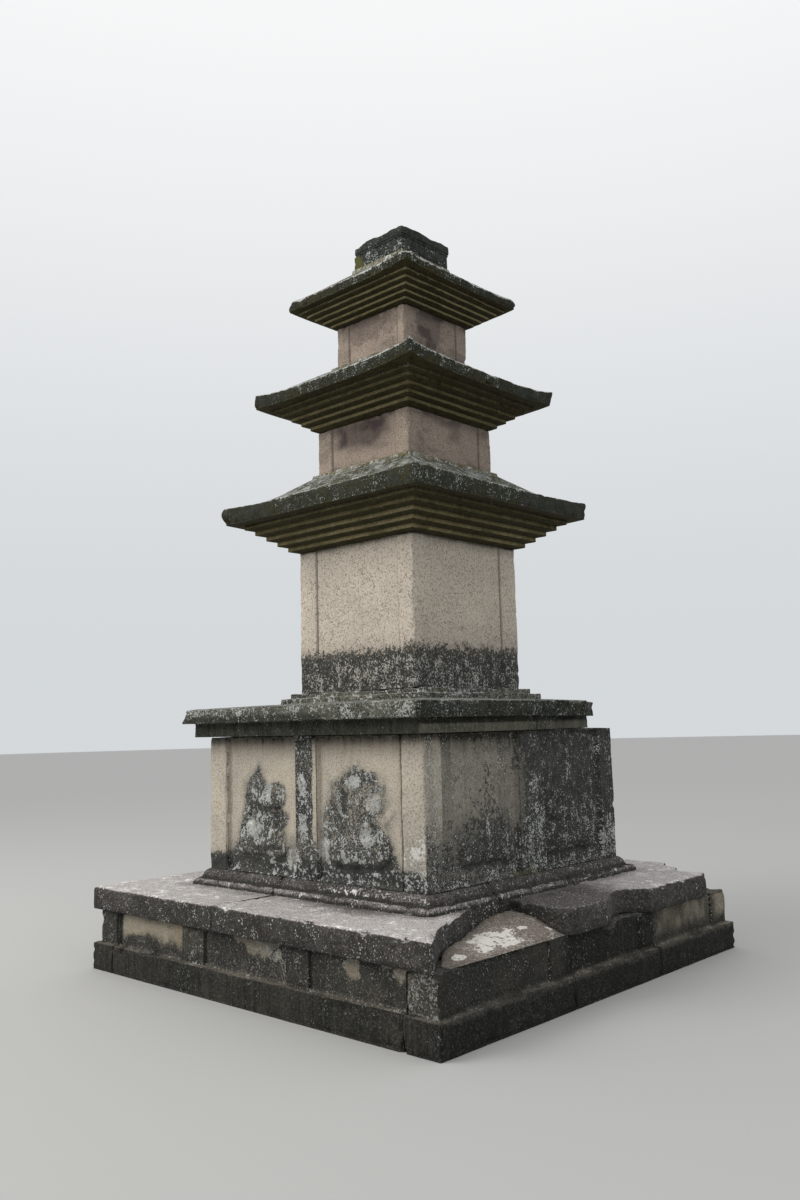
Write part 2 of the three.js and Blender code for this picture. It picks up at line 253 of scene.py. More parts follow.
def weathered(grid, seed, dip=3.0, chips=0, chip=40, arris=4.0, low=-1e9, high=1e9):
    """The grid worn inwards: smooth dips along the normals, deeper where the surface bends, and chips, each
    a hollow whose depth falls as (1 - d^2)^2 from a point on an edge between the heights low and high. A
    face that looks straight down keeps its place, because it is the bed of the stone."""
    n = normals(grid)
    turn = most(0.0, *(1 - (np.roll(n, 3, axis) * np.roll(n, -3, axis)).sum(-1) for axis in (0, 1)))
    edge = ease(turn, 0.2, 0.9)
    bed = fall(-n[..., 2], 0.6, 0.95)
    depth = dip * ease(noise(grid, 240, seed, 2), -0.2, 0.8)
    depth = depth + 0.7 * dip * ease(noise(grid, 45, seed + 1, 2), -0.1, 0.8)
    depth += arris * edge * ease(noise(grid, 110, seed + 2), -0.5, 0.6)
    worn = grid - n * (depth * bed)[..., None]
    ready = (edge > 0.5) & (bed > 0.5) & (grid[..., 2] > low) & (grid[..., 2] < high)
    ready[:3] = ready[-3:] = False
    spots = np.argwhere(ready)
    if chips and len(spots):
        rng = np.random.default_rng(seed)
        for row, column in spots[rng.integers(0, len(spots), chips)]:
            radius = chip * (0.35 + 0.65 * rng.random() ** 2)
            away = ((grid - grid[row, column]) ** 2).sum(-1) / radius**2
            hollow = np.clip(1 - away, 0, 1) ** 2 * radius * (0.2 + 0.25 * rng.random())
            worn = worn - (hollow * bed)[..., None] * n[row, column]
    return worn


def dented(grid, dents, seed, rough=0.5):
    """The grid pushed in at broken places. Each dent is a centre, three radii and a push: the push falls as
    (1 - d^2)^1.5 with the distance from the centre in radii, and noise makes it uneven."""
    out = grid.copy()
    for k, dent in enumerate(dents):
        at, reach, push = np.reshape(dent, (3, 3))
        away = (((grid - at) / reach) ** 2).sum(-1)
        near = away < 1.5
        shift = noise(grid[near], 0.5 * min(reach) + 12, seed + k)
        depth = np.clip(1 - away[near] + 0.5 * rough * shift, 0, 1) ** 1.5 * (1 + rough * shift)
        out[near] += depth[:, None] * push
    return out


def sheared(grid, at, outward, seed, rough=5.0):
    """The grid cut off by a rough plane: what lies beyond the plane is moved back on to it along its
    normal."""
    outward = np.array(outward, float) / np.linalg.norm(outward)
    beyond = (grid - np.array(at, float)) @ outward
    near = beyond > -rough
    beyond[near] += rough * noise(grid[near], 55, seed)
    return grid - np.clip(beyond, 0, None)[..., None] * outward


def edges_of(panels):
    """Where the panels of each side begin and end."""
    return [[edge for pair in panels.get(word, ()) for edge in pair] for word in SIDES]


def sunk(grid, side, panels, low, high, depth, edge=3.0):
    """How far each point of the grid is sunk, by the panels of its side: full depth inside a panel, none
    outside, with a short slope at the panel's edges."""
    down = np.zeros(side.shape[0])
    for i, word in enumerate(SIDES):
        for a, b in panels.get(word, ()):
            down = most(down, np.where(side == i, within(grid[..., i % 2], a, b, edge), 0))
    return down * within(grid[..., 2], low, high, edge) * depth


def pushed_in(grid, side, amount):
    """The grid with each point moved inwards, square to its side."""
    moved = grid.copy()
    for i, (axis, sign) in enumerate([(1, 1), (0, -1), (1, -1), (0, 1)]):
        moved[..., axis] += np.where(side == i, sign * amount, 0)
    return moved


def recess_shade_lines(p, towards, panels, width=9.0):
    """1 in the inner corners at the edges of the sunk panels of each side, where painted shade darkens the
    recess, and 0 a few millimetres off. towards holds the four masks of the sides."""
    recess_shade = np.zeros(len(p))
    for i, edges in enumerate(edges_of(panels)):
        for edge in edges:
            recess_shade = most(recess_shade, fall(np.abs(p[:, i % 2] - edge), 0.4 * width, 1.6 * width) * towards[i])
    return recess_shade


# Stones


def closed(values):
    """What a grid holds, one row a point, and the means of its first and last ring for the two closing
    points."""
    return np.concatenate([values.reshape(-1, 3), values[:1].mean(1), values[-1:].mean(1)])


def shell(levels, around):
    """The four-sided faces between a grid's rings, and the fans that close it at its first and last ring."""
    here = np.arange(around)
    beside = np.roll(here, -1)
    base = (np.arange(levels - 1) * around)[:, None]
    quads = np.stack([base + here, base + beside, base + around + beside, base + around + here], -1)
    quads = quads.reshape(-1, 4)
    top, foot = (levels - 1) * around, np.full(around, levels * around)
    return quads, np.stack([foot, beside, here], 1), np.stack([foot + 1, top + here, top + beside], 1)


def marks(**given):
    """The masks of a stone's points: those given, and what is usual for the others."""
    return dict(crust=0.0, film=0.0, warm=0.4, pale=0.0, flecks=0.0, coarse=0.1, moss=0.0, rust=0.0) | given


def stone(node, grids, slot, masks):
    """One stone from one or more closed surfaces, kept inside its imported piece's box, with the named masks as
    attributes of its points. masks(points, normals) gives a value from 0 to 1 for each name."""
    low, high = (np.array(corner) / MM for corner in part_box(node))
    points, faces, outward, start = [], [], [], 0
    for grid in grids:
        grid = np.clip(grid, low + SKIN, high - SKIN)
        for cells in shell(*grid.shape[:2]):
            faces += (start + cells).tolist()
        points.append(closed(grid))
        outward.append(closed(normals(grid)))
        start += len(points[-1])
    points, outward = np.concatenate(points), np.concatenate(outward)
    mesh = bpy.data.meshes.new(node)
    mesh.from_pydata((points * MM).tolist(), [], faces)
    mesh.shade_smooth()
    for name, value in masks(points, outward).items():
        layer = mesh.attributes.new(name, "FLOAT", "POINT")
        layer.data.foreach_set("value", np.clip(np.broadcast_to(value, len(points)), 0, 1).astype(np.float32))
    mesh.materials.append(STONES[slot])
    made = bpy.data.objects.new(node + "_stone", mesh)
    bpy.context.scene.collection.objects.link(made)
    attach(made, "root")
    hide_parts(node)


def extent(node):
    """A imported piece's lowest and highest x and y as one list, and its lowest and highest z, in
    millimetres."""
    low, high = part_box(node)
    x0, x1, y0, y1, z0, z1 = (v / MM for i in range(3) for v in (low[i], high[i]))
    return [x0, x1, y0, y1], z0, z1


# Shader arithmetic


def add_node(tree, kind, inputs, output=0, **settings):
    """A node of the kind, with its settings, its inputs by name or number, and one of its outputs."""
    node = tree.nodes.new(kind)
    for name, value in settings.items():
        setattr(node, name, value)
    for name, value in inputs.items():
        if isinstance(value, Wire):
            tree.links.new(value.socket, node.inputs[name])
        else:
            node.inputs[name].default_value = value
    return Wire(node.outputs[output])


def arithmetic(operation, place=0):
    """An operator that adds a Math node, with the output it works on as the node's first or second input."""
    return lambda wire, other: wire.add(
        "ShaderNodeMath", {place: wire, 1 - place: other}, operation=operation)


class Wire:
    """An output socket of a node tree that takes part in Python arithmetic by adding Math nodes."""

    def __init__(self, socket):
        self.socket = socket

    def add(self, kind, inputs, output=0, **settings):
        return add_node(self.socket.id_data, kind, inputs, output, **settings)

    __add__ = __radd__ = arithmetic("ADD")
    __mul__ = __rmul__ = arithmetic("MULTIPLY")
    __sub__, __rsub__ = arithmetic("SUBTRACT"), arithmetic("SUBTRACT", 1)

    def ramp(self, low, high):
        """0 below low, 1 above high, smooth between."""
        span = {"Value": self, "From Min": low, "From Max": high}
        return self.add("ShaderNodeMapRange", span, interpolation_type="SMOOTHSTEP")

    def clamp(self):
        return self.add("ShaderNodeClamp", {"Value": self})


def mixed(factor, *colours, blend="MIX"):
    """The first colour where the factor is 0 and the second where it is 1."""
    a, b = (c if isinstance(c, Wire) else (*c, 1.0) for c in colours)
    inputs = {0: factor, 6: a, 7: b}
    return factor.add("ShaderNodeMix", inputs, 2, data_type="RGBA", blend_type=blend, clamp_result=True)


def granite(name, cool, warm, film, crust, fleck, clean, grain, seed, streaky=0.8, dust=0.0):
    """Speckled granite. Masks on the points say where it is warm in tone, where a dark layer lies, which is
    real dirt in places and painted shade in others, where a dark crust grows, how much of it pale lichen flecks
    cover and how coarse they are, where larger patches are pale (clean stone, and along the roofs' eaves a
    painted highlight), and where moss and rust are. streaky says how far the dark layer follows upright
    streaks, and dust how far fine pale grains show in it."""
    material = bpy.data.materials.new(name)
    material.use_nodes = True
    tree = material.node_tree
    tree.nodes.clear()
    place = add_node(tree, "ShaderNodeTexCoord", {}, "Object")
    place = place.add("ShaderNodeVectorMath", {0: place, 1: (seed, seed, seed)}, operation="ADD")

    def speck(scale, detail=2.0, rough=0.6, stretch=None):
        """Noise with a mean of one half, in lumps of one metre divided by the scale."""
        where = place
        if stretch:
            where = place.add(
                "ShaderNodeVectorMath", {0: place, 1: (1.0, 1.0, stretch)}, operation="MULTIPLY")
        inputs = {"Vector": where, "Scale": scale, "Detail": detail, "Roughness": rough}
        return place.add("ShaderNodeTexNoise", inputs, "Fac")

    def mask(word):
        return add_node(tree, "ShaderNodeAttribute", {}, "Fac", attribute_name=word)

    broad, patch = speck(2.6), speck(14.0, 3.0, 0.65)
    lump, small, grit = speck(34.0), speck(78.0), speck(140.0, 1.0)
    streak = speck(15.0, 2.0, 0.6, 0.08) * 0.7 + speck(60.0, 1.0, 0.5, 0.06) * 0.8 - 0.25

    body = mixed((mask("warm") + (broad - 0.5) * 0.8 + (patch - 0.5) * 0.4).clamp(), cool, warm)
    dots = (0.475 - grit * 0.5 - small * 0.5).ramp(0.0, 0.07) * grain
    body = mixed(dots, body, (0.42, 0.38, 0.34), blend="MULTIPLY")
    body = mixed((small * 0.5 + grit * 0.5).ramp(0.53, 0.62) * grain * 0.6, body, clean)

    film_mask, grains = mask("film"), (small * 0.5 + grit * 0.5).ramp(0.48, 0.66)
    cover = film_mask * (1.05 + (streak - 0.5) * streaky + (lump - 0.5) * 0.4 + (small - 0.5) * 0.4)
    body = mixed(cover.clamp(), body, mixed(grains * dust, film, fleck))

    spread = mask("crust") + (patch - 0.5) * 0.5 + (lump - 0.5) * 0.8 + (small - 0.5) * 0.9
    cover = spread.ramp(0.43, 0.57)
    body = mixed(cover * 0.96, body, mixed(patch.ramp(0.35, 0.7) * 0.08 + grains * 0.16, crust, fleck))

    spots = lump * 0.14 + small * 0.62 + grit * 0.24 + mask("coarse") * (lump - small) * 0.46
    light = mask("flecks") * 0.5 + spots + (patch - 0.5) * 0.25 + (streak - 0.5) * (0.2 * streaky)
    light = light.ramp(0.752, 0.80)
    tone = mixed(patch.ramp(0.35, 0.65) * 0.5, fleck, clean)
    body = mixed(light * (0.7 + 0.3 * grit.ramp(0.35, 0.6)), body, tone)

    bare = (mask("pale") + (patch - 0.5) * 1.0 + (lump - 0.5) * 0.5 + (small - 0.5) * 0.5).ramp(0.42, 0.55)
    body = mixed(bare * (0.75 + 0.25 * grit.ramp(0.4, 0.55)), body, clean)
    growth = (mask("moss") + (small - 0.5) * 1.3 + (lump - 0.5) * 0.6).ramp(0.42, 0.66)
    body = mixed(growth * 0.75, body, (0.10, 0.095, 0.022))
    stain = (mask("rust") * (0.6 + 0.8 * streak) + (small - 0.5) * 0.3).ramp(0.2, 0.9)
    body = mixed(stain * 0.8, body, (0.30, 0.17, 0.07))

    height = grit * 0.35 + small * 0.55 + (lump + light) * cover * 0.4 + patch * 0.6
    bump = height.add("ShaderNodeBump", {"Strength": 0.7, "Distance": 0.007, "Height": height}, "Normal")
    inputs = {"Base Color": body, "Roughness": 0.92, "Normal": bump, "Specular IOR Level": 0.2}
    surface = body.add("ShaderNodeBsdfPrincipled", inputs)
    tree.links.new(surface.socket, tree.nodes.new("ShaderNodeOutputMaterial").inputs["Surface"])
    return material


# Each stone's six tones are: where it is cool and where it is warm, the film, which is real dirt and also
# paints shade, the crust, the flecks and the clean stone
STONES = {
    slot: granite(slot.split("_", 1)[1], *tones, **kind)
    for slot, kind, *tones in (
        # The low wall's tones are dark partly for real dirt and lichen and partly as painted shade over the
        # lower base
        ("granite_low_wall", dict(grain=0.6, seed=1.3, dust=0.16), (0.05, 0.048, 0.043), (0.34, 0.295, 0.215),
         (0.008, 0.0078, 0.0052), (0.017, 0.017, 0.0145), (0.21, 0.215, 0.20), (0.38, 0.375, 0.35)),
        ("granite_slab", dict(grain=1.25, seed=2.1, dust=0.12), (0.120, 0.106, 0.098), (0.46, 0.425, 0.42),
         (0.022, 0.0205, 0.0165), (0.021, 0.020, 0.0165), (0.33, 0.325, 0.305), (0.76, 0.74, 0.73)),
        ("granite_upper_base", dict(grain=0.7, seed=3.7), (0.25, 0.24, 0.21), (0.57, 0.50, 0.405),
         (0.025, 0.023, 0.016), (0.023, 0.024, 0.021), (0.33, 0.34, 0.33), (0.60, 0.595, 0.56)),
        ("granite_cap", dict(grain=0.5, seed=4.9), (0.13, 0.13, 0.105), (0.25, 0.232, 0.18),
         (0.012, 0.013, 0.007), (0.020, 0.022, 0.016), (0.29, 0.30, 0.275), (0.50, 0.505, 0.48)),
        ("granite_cream", dict(grain=1.0, seed=5.3), (0.38, 0.34, 0.29), (0.64, 0.565, 0.475),
         (0.10, 0.09, 0.07), (0.028, 0.029, 0.025), (0.30, 0.30, 0.285), (0.66, 0.61, 0.53)),
        ("granite_pink", dict(grain=0.8, seed=6.1, streaky=0.15), (0.26, 0.205, 0.175), (0.43, 0.355, 0.285),
         (0.065, 0.050, 0.048), (0.045, 0.045, 0.04), (0.26, 0.25, 0.23), (0.50, 0.44, 0.37)),
        ("granite_roof", dict(grain=0.4, seed=7.7), (0.070, 0.063, 0.028), (0.215, 0.178, 0.085),
         (0.019, 0.0155, 0.003), (0.018, 0.020, 0.013), (0.20, 0.215, 0.185), (0.52, 0.52, 0.50)),
        ("granite_finial", dict(grain=0.4, seed=8.2), (0.07, 0.07, 0.055), (0.12, 0.11, 0.06),
         (0.010, 0.011, 0.006), (0.015, 0.017, 0.013), (0.29, 0.30, 0.29), (0.44, 0.45, 0.44)),
        ("rubble_fill", dict(grain=0.6, seed=9.4), (0.10, 0.083, 0.07), (0.22, 0.185, 0.16),
         (0.04, 0.034, 0.028), (0.05, 0.042, 0.036), (0.24, 0.22, 0.20), (0.66, 0.64, 0.60)),
    )
}


# Lower base: plinth and low wall cut from the same stones

PLINTH_TOP, PLINTH_STEP, LOW_PANEL_DEPTH = 185, 42, 16
OUTER = 1600  # a stone that reaches past this from the middle has an outer face there
LOW_PANELS = dict(zip(SIDES, [
    [(-1352, -608), (-369, 419), (628, 1383)], [(-1385, -620), (-390, 390), (620, 1385)]] * 2))
# Broken places near the corner: centre, reach and push
PLINTH_BREAKS = [
    (764, -1645, 185, 80, 40, 36, 0, 14, -10), (960, -1645, 150, 150, 50, 34, 0, 12, -4),
    (1386, -1645, 20, 26, 50, 60, 0, 20, 0), (420, -1645, 185, 60, 30, 26, 0, 10, -8),
    (-300, -1645, 185, 90, 30, 24, 0, 9, -8), (-980, -1645, 185, 70, 30, 24, 0, 10, -8),
    (1645, -1645, 170, 60, 60, 60, -12, 12, -8), (1645, -980, 185, 140, 140, 30, -12, 0, -10),
    (1645, 240, 185, 160, 160, 36, -16, 0, -12), (1645, 1120, 185, 120, 120, 30, -12, 0, -10),
    (1386, -1603, 415, 70, 40, 34, 0, 22, -10), (1603, -1603, 415, 60, 60, 50, -14, 14, -14),
]
# Where the low wall's front is buff and clean: one long patch, the damp spot in it, and small patches
LOW_BUFF = [(-1330, 245), (-1330, 440), (-700, 440), (-580, 390), (-640, 250), (-900, 265)]
LOW_DAMP = (-1110, 226, 170, 62)
LOW_BUFF_SPOTS = [
    (175, 360, 110, 75), (316, 400, 80, 40), (345, 345, 44, 46), (952, 360, 60, 80), (1219, 404, 90, 30),
    (1313, 372, 60, 44), (-20, 400, 60, 26),
]


def low_stone(node, seed):
    foot, z0, z1 = extent(node)
    outer = [foot[2] < -OUTER, foot[1] > OUTER, foot[3] > OUTER, foot[0] < -OUTER]
    wall = np.array(foot) + PLINTH_STEP * np.array([outer[3], -outer[1], outer[0], -outer[2]])
    fine = 12 if outer[0] or outer[1] else 20
    rows = dense(
        [shrunk(foot, z0), [*foot, z0], [*foot, PLINTH_TOP],
         [*wall, PLINTH_TOP], [*wall, z1], shrunk(wall, z1)],
        [40, fine, 11, fine, 14],
        [0, 4, 9, 5, 10, 0],
    )
    panels = {word: LOW_PANELS[word] for word, shows in zip(SIDES, outer) if shows}
    grid, side, _ = rings(rows, wall, [fine + 1 if shows else 55 for shows in outer], 8, edges_of(panels))
    grid = pushed_in(grid, side, sunk(grid, side, panels, PLINTH_TOP + 11, 600, LOW_PANEL_DEPTH))
    if node == "base_stone_right_mid":
        away = ((grid[..., 1] - 45) / 100) ** 2 + ((grid[..., 2] - 415) / 60) ** 2
        hollow = np.clip(1 - away, 0, 1) ** 0.7 * ease(grid[..., 0], 1480, 1590)
        grid[..., 2] -= 46 * hollow * (1 + 0.4 * noise(grid, 40, 5, 2))
    if node == "base_stone_front":
        slanting = sheared(grid, (908, -1645, 135), (0.05, -0.978, 0.205), seed, 7)
        grid = np.where(grid[..., 2:] < PLINTH_TOP + 3, slanting, grid)
    grid = weathered(dented(grid, PLINTH_BREAKS, seed), seed, 4.0, 24, 60, 7)
    stone(node, [grid], "granite_low_wall", low_masks)


def low_masks(p, n):
    x, y, z = p.T
    drift, fine = noise(p, 300, 11), noise(p, 70, 12)
    front, right, back, left = towards = facing(n)
    wall = ease(z + 6 * fine, PLINTH_TOP - 2, PLINTH_TOP + 4)
    plinth = 1 - wall
    top = ease(n[:, 2], 0.5, 0.9)
    buff = blot(x, z, LOW_BUFF, 60, 1.5 * (34 * fine + 30 * drift))
    buff = buff * (1 - 0.8 * oval(x, z, LOW_DAMP, 0.7 * fine))
    buff = most(buff, 0.62 * ovals(x, z, LOW_BUFF_SPOTS, 0.9 * fine)) * front * wall
    near_end = ease(x, 1384, 1388) * front * wall
    washed = right * ease(y + 20 * fine, 560, 600) * wall * ease(z, 210, 300)
    washed = washed * (0.4 + 0.6 * ease(noise(p * [1, 1, 0.3], 90, 18, 2), -0.3, 0.3))
    upper_edge = most(ease(z + 4 * fine, 178, 184), 0.8 * right * ease(z + 12 * fine, 142, 176))
    upper_edge = upper_edge * fall(z, 190, 200)
    # Painted shade: the right side of the low wall, and most of all its middle, is made darker than the front
    film = 0.26 * front + 0.64 * right * (1 - washed) + 0.3 * np.clip(left + back, 0, 1)
    film = film + 0.2 * drift + 0.46 * plinth
    film = film + 0.3 * right * within(y, -480, 560, 30) * wall + front * (0.14 - 0.05 * plinth)
    film = film - 0.5 * buff - 0.2 * near_end - (0.25 + 0.4 * right) * upper_edge
    # Painted shadow: darker on the wall just under the overhanging slab, just above the plinth ledge and in the
    # corners of the sunk panels
    slab_shadow = ease(z + 6 * fine, 392, 408) * (1 - top) * (1 - near_end)
    ledge_corner_shade = fall(z, 187, 205) * wall * (1 - top)
    foot_damp = fall(z + 20 * fine, 20, 90) * plinth
    recess_shade = recess_shade_lines(p, towards, LOW_PANELS) * wall
    return marks(
        crust=0.34 + 0.24 * drift + 0.14 * near_end - 0.4 * buff - 0.2 * washed + 0.06 * plinth,
        film=most(film, 0.95 * recess_shade, 0.85 * slab_shadow, 0.8 * ledge_corner_shade, 0.7 * foot_damp),
        warm=0.04 + 0.95 * buff + 0.42 * washed + 0.1 * plinth + 0.12 * drift + 0.06 * right * wall
        + 0.14 * upper_edge + 0.18 * near_end,
        pale=0.12 * near_end * ease(z + 60 * fine, 300, 380) + 0.12 * buff,
        flecks=0.34 + 0.14 * near_end + 0.12 * buff + 0.10 * drift - 0.07 * right - 0.10 * plinth
        + (0.14 - 0.1 * right) * upper_edge
        + 0.12 * front * wall * within(x, 160, 400, 50) * ease(z, 230, 330),
        moss=0.3 * foot_damp * ease(noise(p, 200, 16, 2), 0.3, 0.7)
        + 0.3 * front * wall * oval(x, z, (1140, 255, 110, 60), 0.5 * fine),
        rust=0.8 * front * within(x + 5 * fine, -680, -660, 8) * ease(z, 245, 300)
        + 0.5 * front * within(x, 1366, 1384, 6) * ease(z, 240, 280) + 0.2 * washed
        + 0.35 * front * buff * ease(z + 20 * fine, 375, 400),
    )


for index, name in enumerate(n for n in sorted(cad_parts) if n.startswith("base_stone")):
    low_stone(name, 100 + 10 * index)


# Slabs on the lower base, each with its part of the moulding

SLAB_LOW, SLAB_TOP = 415.4, 571
SLAB_THICK = SLAB_TOP - SLAB_LOW
MOULDING_HALF = 1154
MOULDING = [
    (MOULDING_HALF, 540), (MOULDING_HALF, 598), (1138, 614), (1112, 612), (1100, 620), (1086, 654),
    (1058, 675),
]
# Each slab: the middle that its flat faces close on, the part of the moulding that it carries, and its
# outline. With each corner come the roughness of the run that starts there and how far the run's top edge
# is worn, 0 at a joint.
SLABS = {
    "slab_front": ((480, -1060), (-243.5, MOULDING_HALF, -MOULDING_HALF, -484.5), [
        (-243.5, -1643, 3, 1), (1608, -1643, 4, 0.5), (1590, -1610, 6, 0.35), (1513, -1500, 12, 0.35),
        (1391, -1334, 12, 0.35), (1346, -1232, 12, 0.35), (1294, -1094, 12, 0.35), (1265, -1006, 12, 0.35),
        (1195, -880, 12, 0.35), (1165, -790, 6, 0.3), (1157, -700, 5, 0.2), (1157, -484.5, 0, 0),
        (-243.5, -484.5, 0, 0)]),
    "slab_right": ((900, 500), (246.5, MOULDING_HALF, -481.5, MOULDING_HALF), [
        (245, -481.5, 0, 0), (1157, -481.5, 3, 0.3), (1157, -400, 8, 0.5), (1250, -421, 8, 0.5),
        (1341, -442, 8, 0.5), (1429, -463, 8, 0.5), (1515, -483, 8, 0.6), (1572, -465, 6, 0.8),
        (1620, -432, 6, 1), (1640, -395, 6, 1), (1643, -61, 8, 0.8), (1589, 75, 8, 0.7),
        (1526, 214, 8, 0.7), (1497, 311, 8, 0.7), (1514, 370, 8, 0.7), (1583, 442, 8, 0.8),
        (1636, 478, 5, 1), (1643, 584, 3, 1), (1643, 1250, 8, 0.6), (1600, 1322, 12, 0.5),
        (1420, 1290, 12, 0.5), (1330, 1420, 12, 0.5), (1180, 1520, 12, 0.6), (1120, 1643, 3, 1),
        (245, 1643, 0, 0)]),
    "slab_back": ((-700, 1060), (-MOULDING_HALF, 243.5, 484.5, MOULDING_HALF), [
        (243.5, 484.5, 0, 0), (243.5, 1643, 3, 1), (-1643, 1643, 3, 1), (-1643, 484.5, 0, 0)]),
    "slab_left": ((-940, -580), (-MOULDING_HALF, -246.5, -MOULDING_HALF, 481.5), [
        (-246.5, -1643, 0, 0), (-246.5, 481.5, 0, 0), (-1643, 481.5, 3, 1), (-1643, -1643, 3, 1)]),
}
MOULDING_BREAKS = [
    (1154, 300, 606, 60, 90, 50, -26, 0, -14), (1154, 450, 600, 60, 120, 46, -30, 0, -16),
    (1154, 640, 606, 60, 90, 50, -22, 0, -20), (1154, 800, 596, 60, 110, 40, -28, 0, -8),
    (1154, 960, 606, 60, 70, 46, -20, 0, -12), (1154, -140, 606, 50, 110, 30, -16, 0, -12),
    (1154, -520, 606, 50, 80, 30, -14, 0, -10), (980, -1154, 606, 90, 50, 34, 0, 16, -12),
    (320, -1154, 606, 110, 50, 30, 0, 14, -10), (-420, -1154, 606, 120, 50, 30, 0, 12, -10),
    (1154, -1154, 600, 60, 60, 50, -16, 16, -10), (-1154, -1154, 606, 70, 70, 40, 14, 14, -10),
]
# The part of the front slab's top that lies dark beside the wall
FRONT_SHADE = [
    (-260, -1110), (300, -1230), (700, -1260), (1120, -1130), (1230, -900), (1154, -480), (1100, -480),
    (1100, -1000), (-260, -1000),
]


def under_lift(x, y):
    """How far the underside of the broken right slab has come away: a shallow hollow along the middle
    stone, and a deeper one near its outer edge."""
    wide = 52 * ease(y, -345, -130) * fall(y, 430, 570) * ease(x, 1430, 1500)
    return wide + 50 * ease(y, -230, -30) * fall(y, 60, 200) * ease(x, 1540, 1640)


def slab(node, seed):
    centre, part, corners = SLABS[node]
    shown = node.split("_")[1] in SHOWN
    places, rough, wear = np.split(np.array(corners), [2, 3], axis=1)
    outline, run = resampled(places, 15 if shown else 26, rough, seed)
    worn = wear[run, 0]
    for _ in range(3):
        worn = 0.25 * np.roll(worn, 1) + 0.5 * worn + 0.25 * np.roll(worn, -1)
    rows = [(s, 6, SLAB_LOW) for s in (0.02, 0.3, 0.6, 0.8, 0.86, 0.91, 0.95, 0.98)] + [(1, 5, SLAB_LOW)]
    rows += [(1, 0, SLAB_LOW + SLAB_THICK * t) for t in np.linspace(0.04, 0.79, 12 if shown else 7)]
    rounding = (0, 28), (1.5, 20), (5, 12), (11, 6), (20, 2), (34, 0)
    rows += [(1, inset, SLAB_TOP - drop) for inset, drop in rounding]
    rows += [(s, 20 * (s - 0.42), SLAB_TOP) for s in np.linspace(0.965, 0.42, 28 if shown else 14)]
    rows += [(0.2, 0, SLAB_TOP), (0.02, 0, SLAB_TOP)]
    flat = outline_rings(outline, rows, centre, worn)
    if node == "slab_right":
        lift = under_lift(flat[..., 0], flat[..., 1])
        flat[..., 2] = np.minimum(
            flat[..., 2], SLAB_TOP - (SLAB_TOP - flat[..., 2]) * (1 - lift / SLAB_THICK))

    x0, x1, y0, y1 = part
    courses = [[max(x0, -half), min(x1, half), max(y0, -half), min(y1, half), z] for half, z in MOULDING]
    rows = dense(
        [shrunk(courses[0], MOULDING[0][1]), *courses, shrunk(courses[-1], MOULDING[-1][1])],
        [120, 9, 7, 7, 7, 7, 7, 90],
        [0, 2, 10, 8, 4, 6, 8, 8, 0],
    )
    fine, at_joint = 14 if shown else 26, 60
    steps = [fine if abs(reach) == MOULDING_HALF else at_joint for reach in (y0, x1, y1, x0)]
    carved = dented(rings(rows, part, steps, 10)[0], MOULDING_BREAKS, seed)
    grids = [
        weathered(flat, seed, 4, 50 if shown else 15, 46, 6, 500),
        weathered(carved, seed + 3, 4, 24, 50, 8),
    ]

    def masks(p, n):
        x, y, z = p.T
        drift, fine = noise(p, 260, 21), noise(p, 60, 22)
        reach = most(np.abs(x), np.abs(y))
        top, carved = ease(n[:, 2], 0.6, 0.96), ease(z, 573, 580)
        edge, flat = (1 - top) * (1 - carved), top * (1 - carved)
        if node == "slab_right":
            shade = fall(y + 0.5 * (x - 1400) + 90 * drift, 120, 620)
        else:
            shade = blot(x, y, FRONT_SHADE, 130, 60 * drift + 30 * fine)
        dark = most(shade, 0.45 * fall(reach + 40 * drift, 1170, 1300))
        along_wear = p * [1, 1, 0.2] @ np.array([[0.72, -0.7, 0], [0.14, 0.14, 0], [0, 0, 1.0]])
        streaks = noise(along_wear, 40, 23)
        rim = ease(z, 545, 560) * (1 - carved) * ease(reach, 1560, 1620)
        reach = reach + 6 * fine
        # Painted shade darkens the groove of the moulding
        groove_shade = carved * within(reach, 1094, 1122, 8) * within(z, 600, 630, 8)
        ridge = carved * ease(reach, 1120, 1134) * ease(z, 588, 600)
        band = within(x + 40 * drift, 240, 1130, 60) * ease(z + 8 * fine, 612, 636) * fall(y, -1090, -1040)
        joints = 0.5 * edge * fall(z, 425, 450) + 0.5 * carved * fall(z, 576, 590)
        return marks(
            crust=edge * (0.60 + 0.2 * drift) + flat * (0.05 + 0.3 * dark + 0.12 * drift)
            + carved * (0.46 + 0.2 * drift),
            film=edge * (0.62 + 0.2 * drift) + flat * dark * 0.5 + carved * (0.55 + 0.25 * fine) + joints
            + 0.6 * groove_shade - 0.3 * ridge,
            warm=flat * (1.0 - 0.85 * dark + 0.3 * streaks) + 0.12 * edge + 0.2 * carved + 0.3 * ridge,
            pale=flat * (1 - dark) * (0.30 + 0.2 * streaks) + 0.05 * rim * (1 - dark)
            + 0.22 * carved * ease(drift, 0.1, 0.6) + 0.2 * band,
            flecks=(0.33 - 0.06 * (node == "slab_right")) * edge + 0.32 * carved + 0.12 * ridge - 0.2 * groove_shade
            + flat * (0.50 - 0.18 * dark + 0.1 * streaks) + 0.1 * band + 0.08 * drift,
            coarse=0.1 + 0.4 * band,
            rust=0.2 * carved * ease(noise(p, 120, 24, 2), 0.4, 0.7),
        )

    stone(node, grids, "granite_slab", masks)


for index, name in enumerate(SLABS):
    slab(name, 200 + 10 * index)


# Upper base walls with seated guardian figures in relief, badly worn

WALL_PANELS = dict(zip(SIDES, [[(-860, -111), (107, 860)], [(-887, -114), (169, 870)]] * 2))
PANEL_DEPTH, PANEL_MARGIN = 30, 14
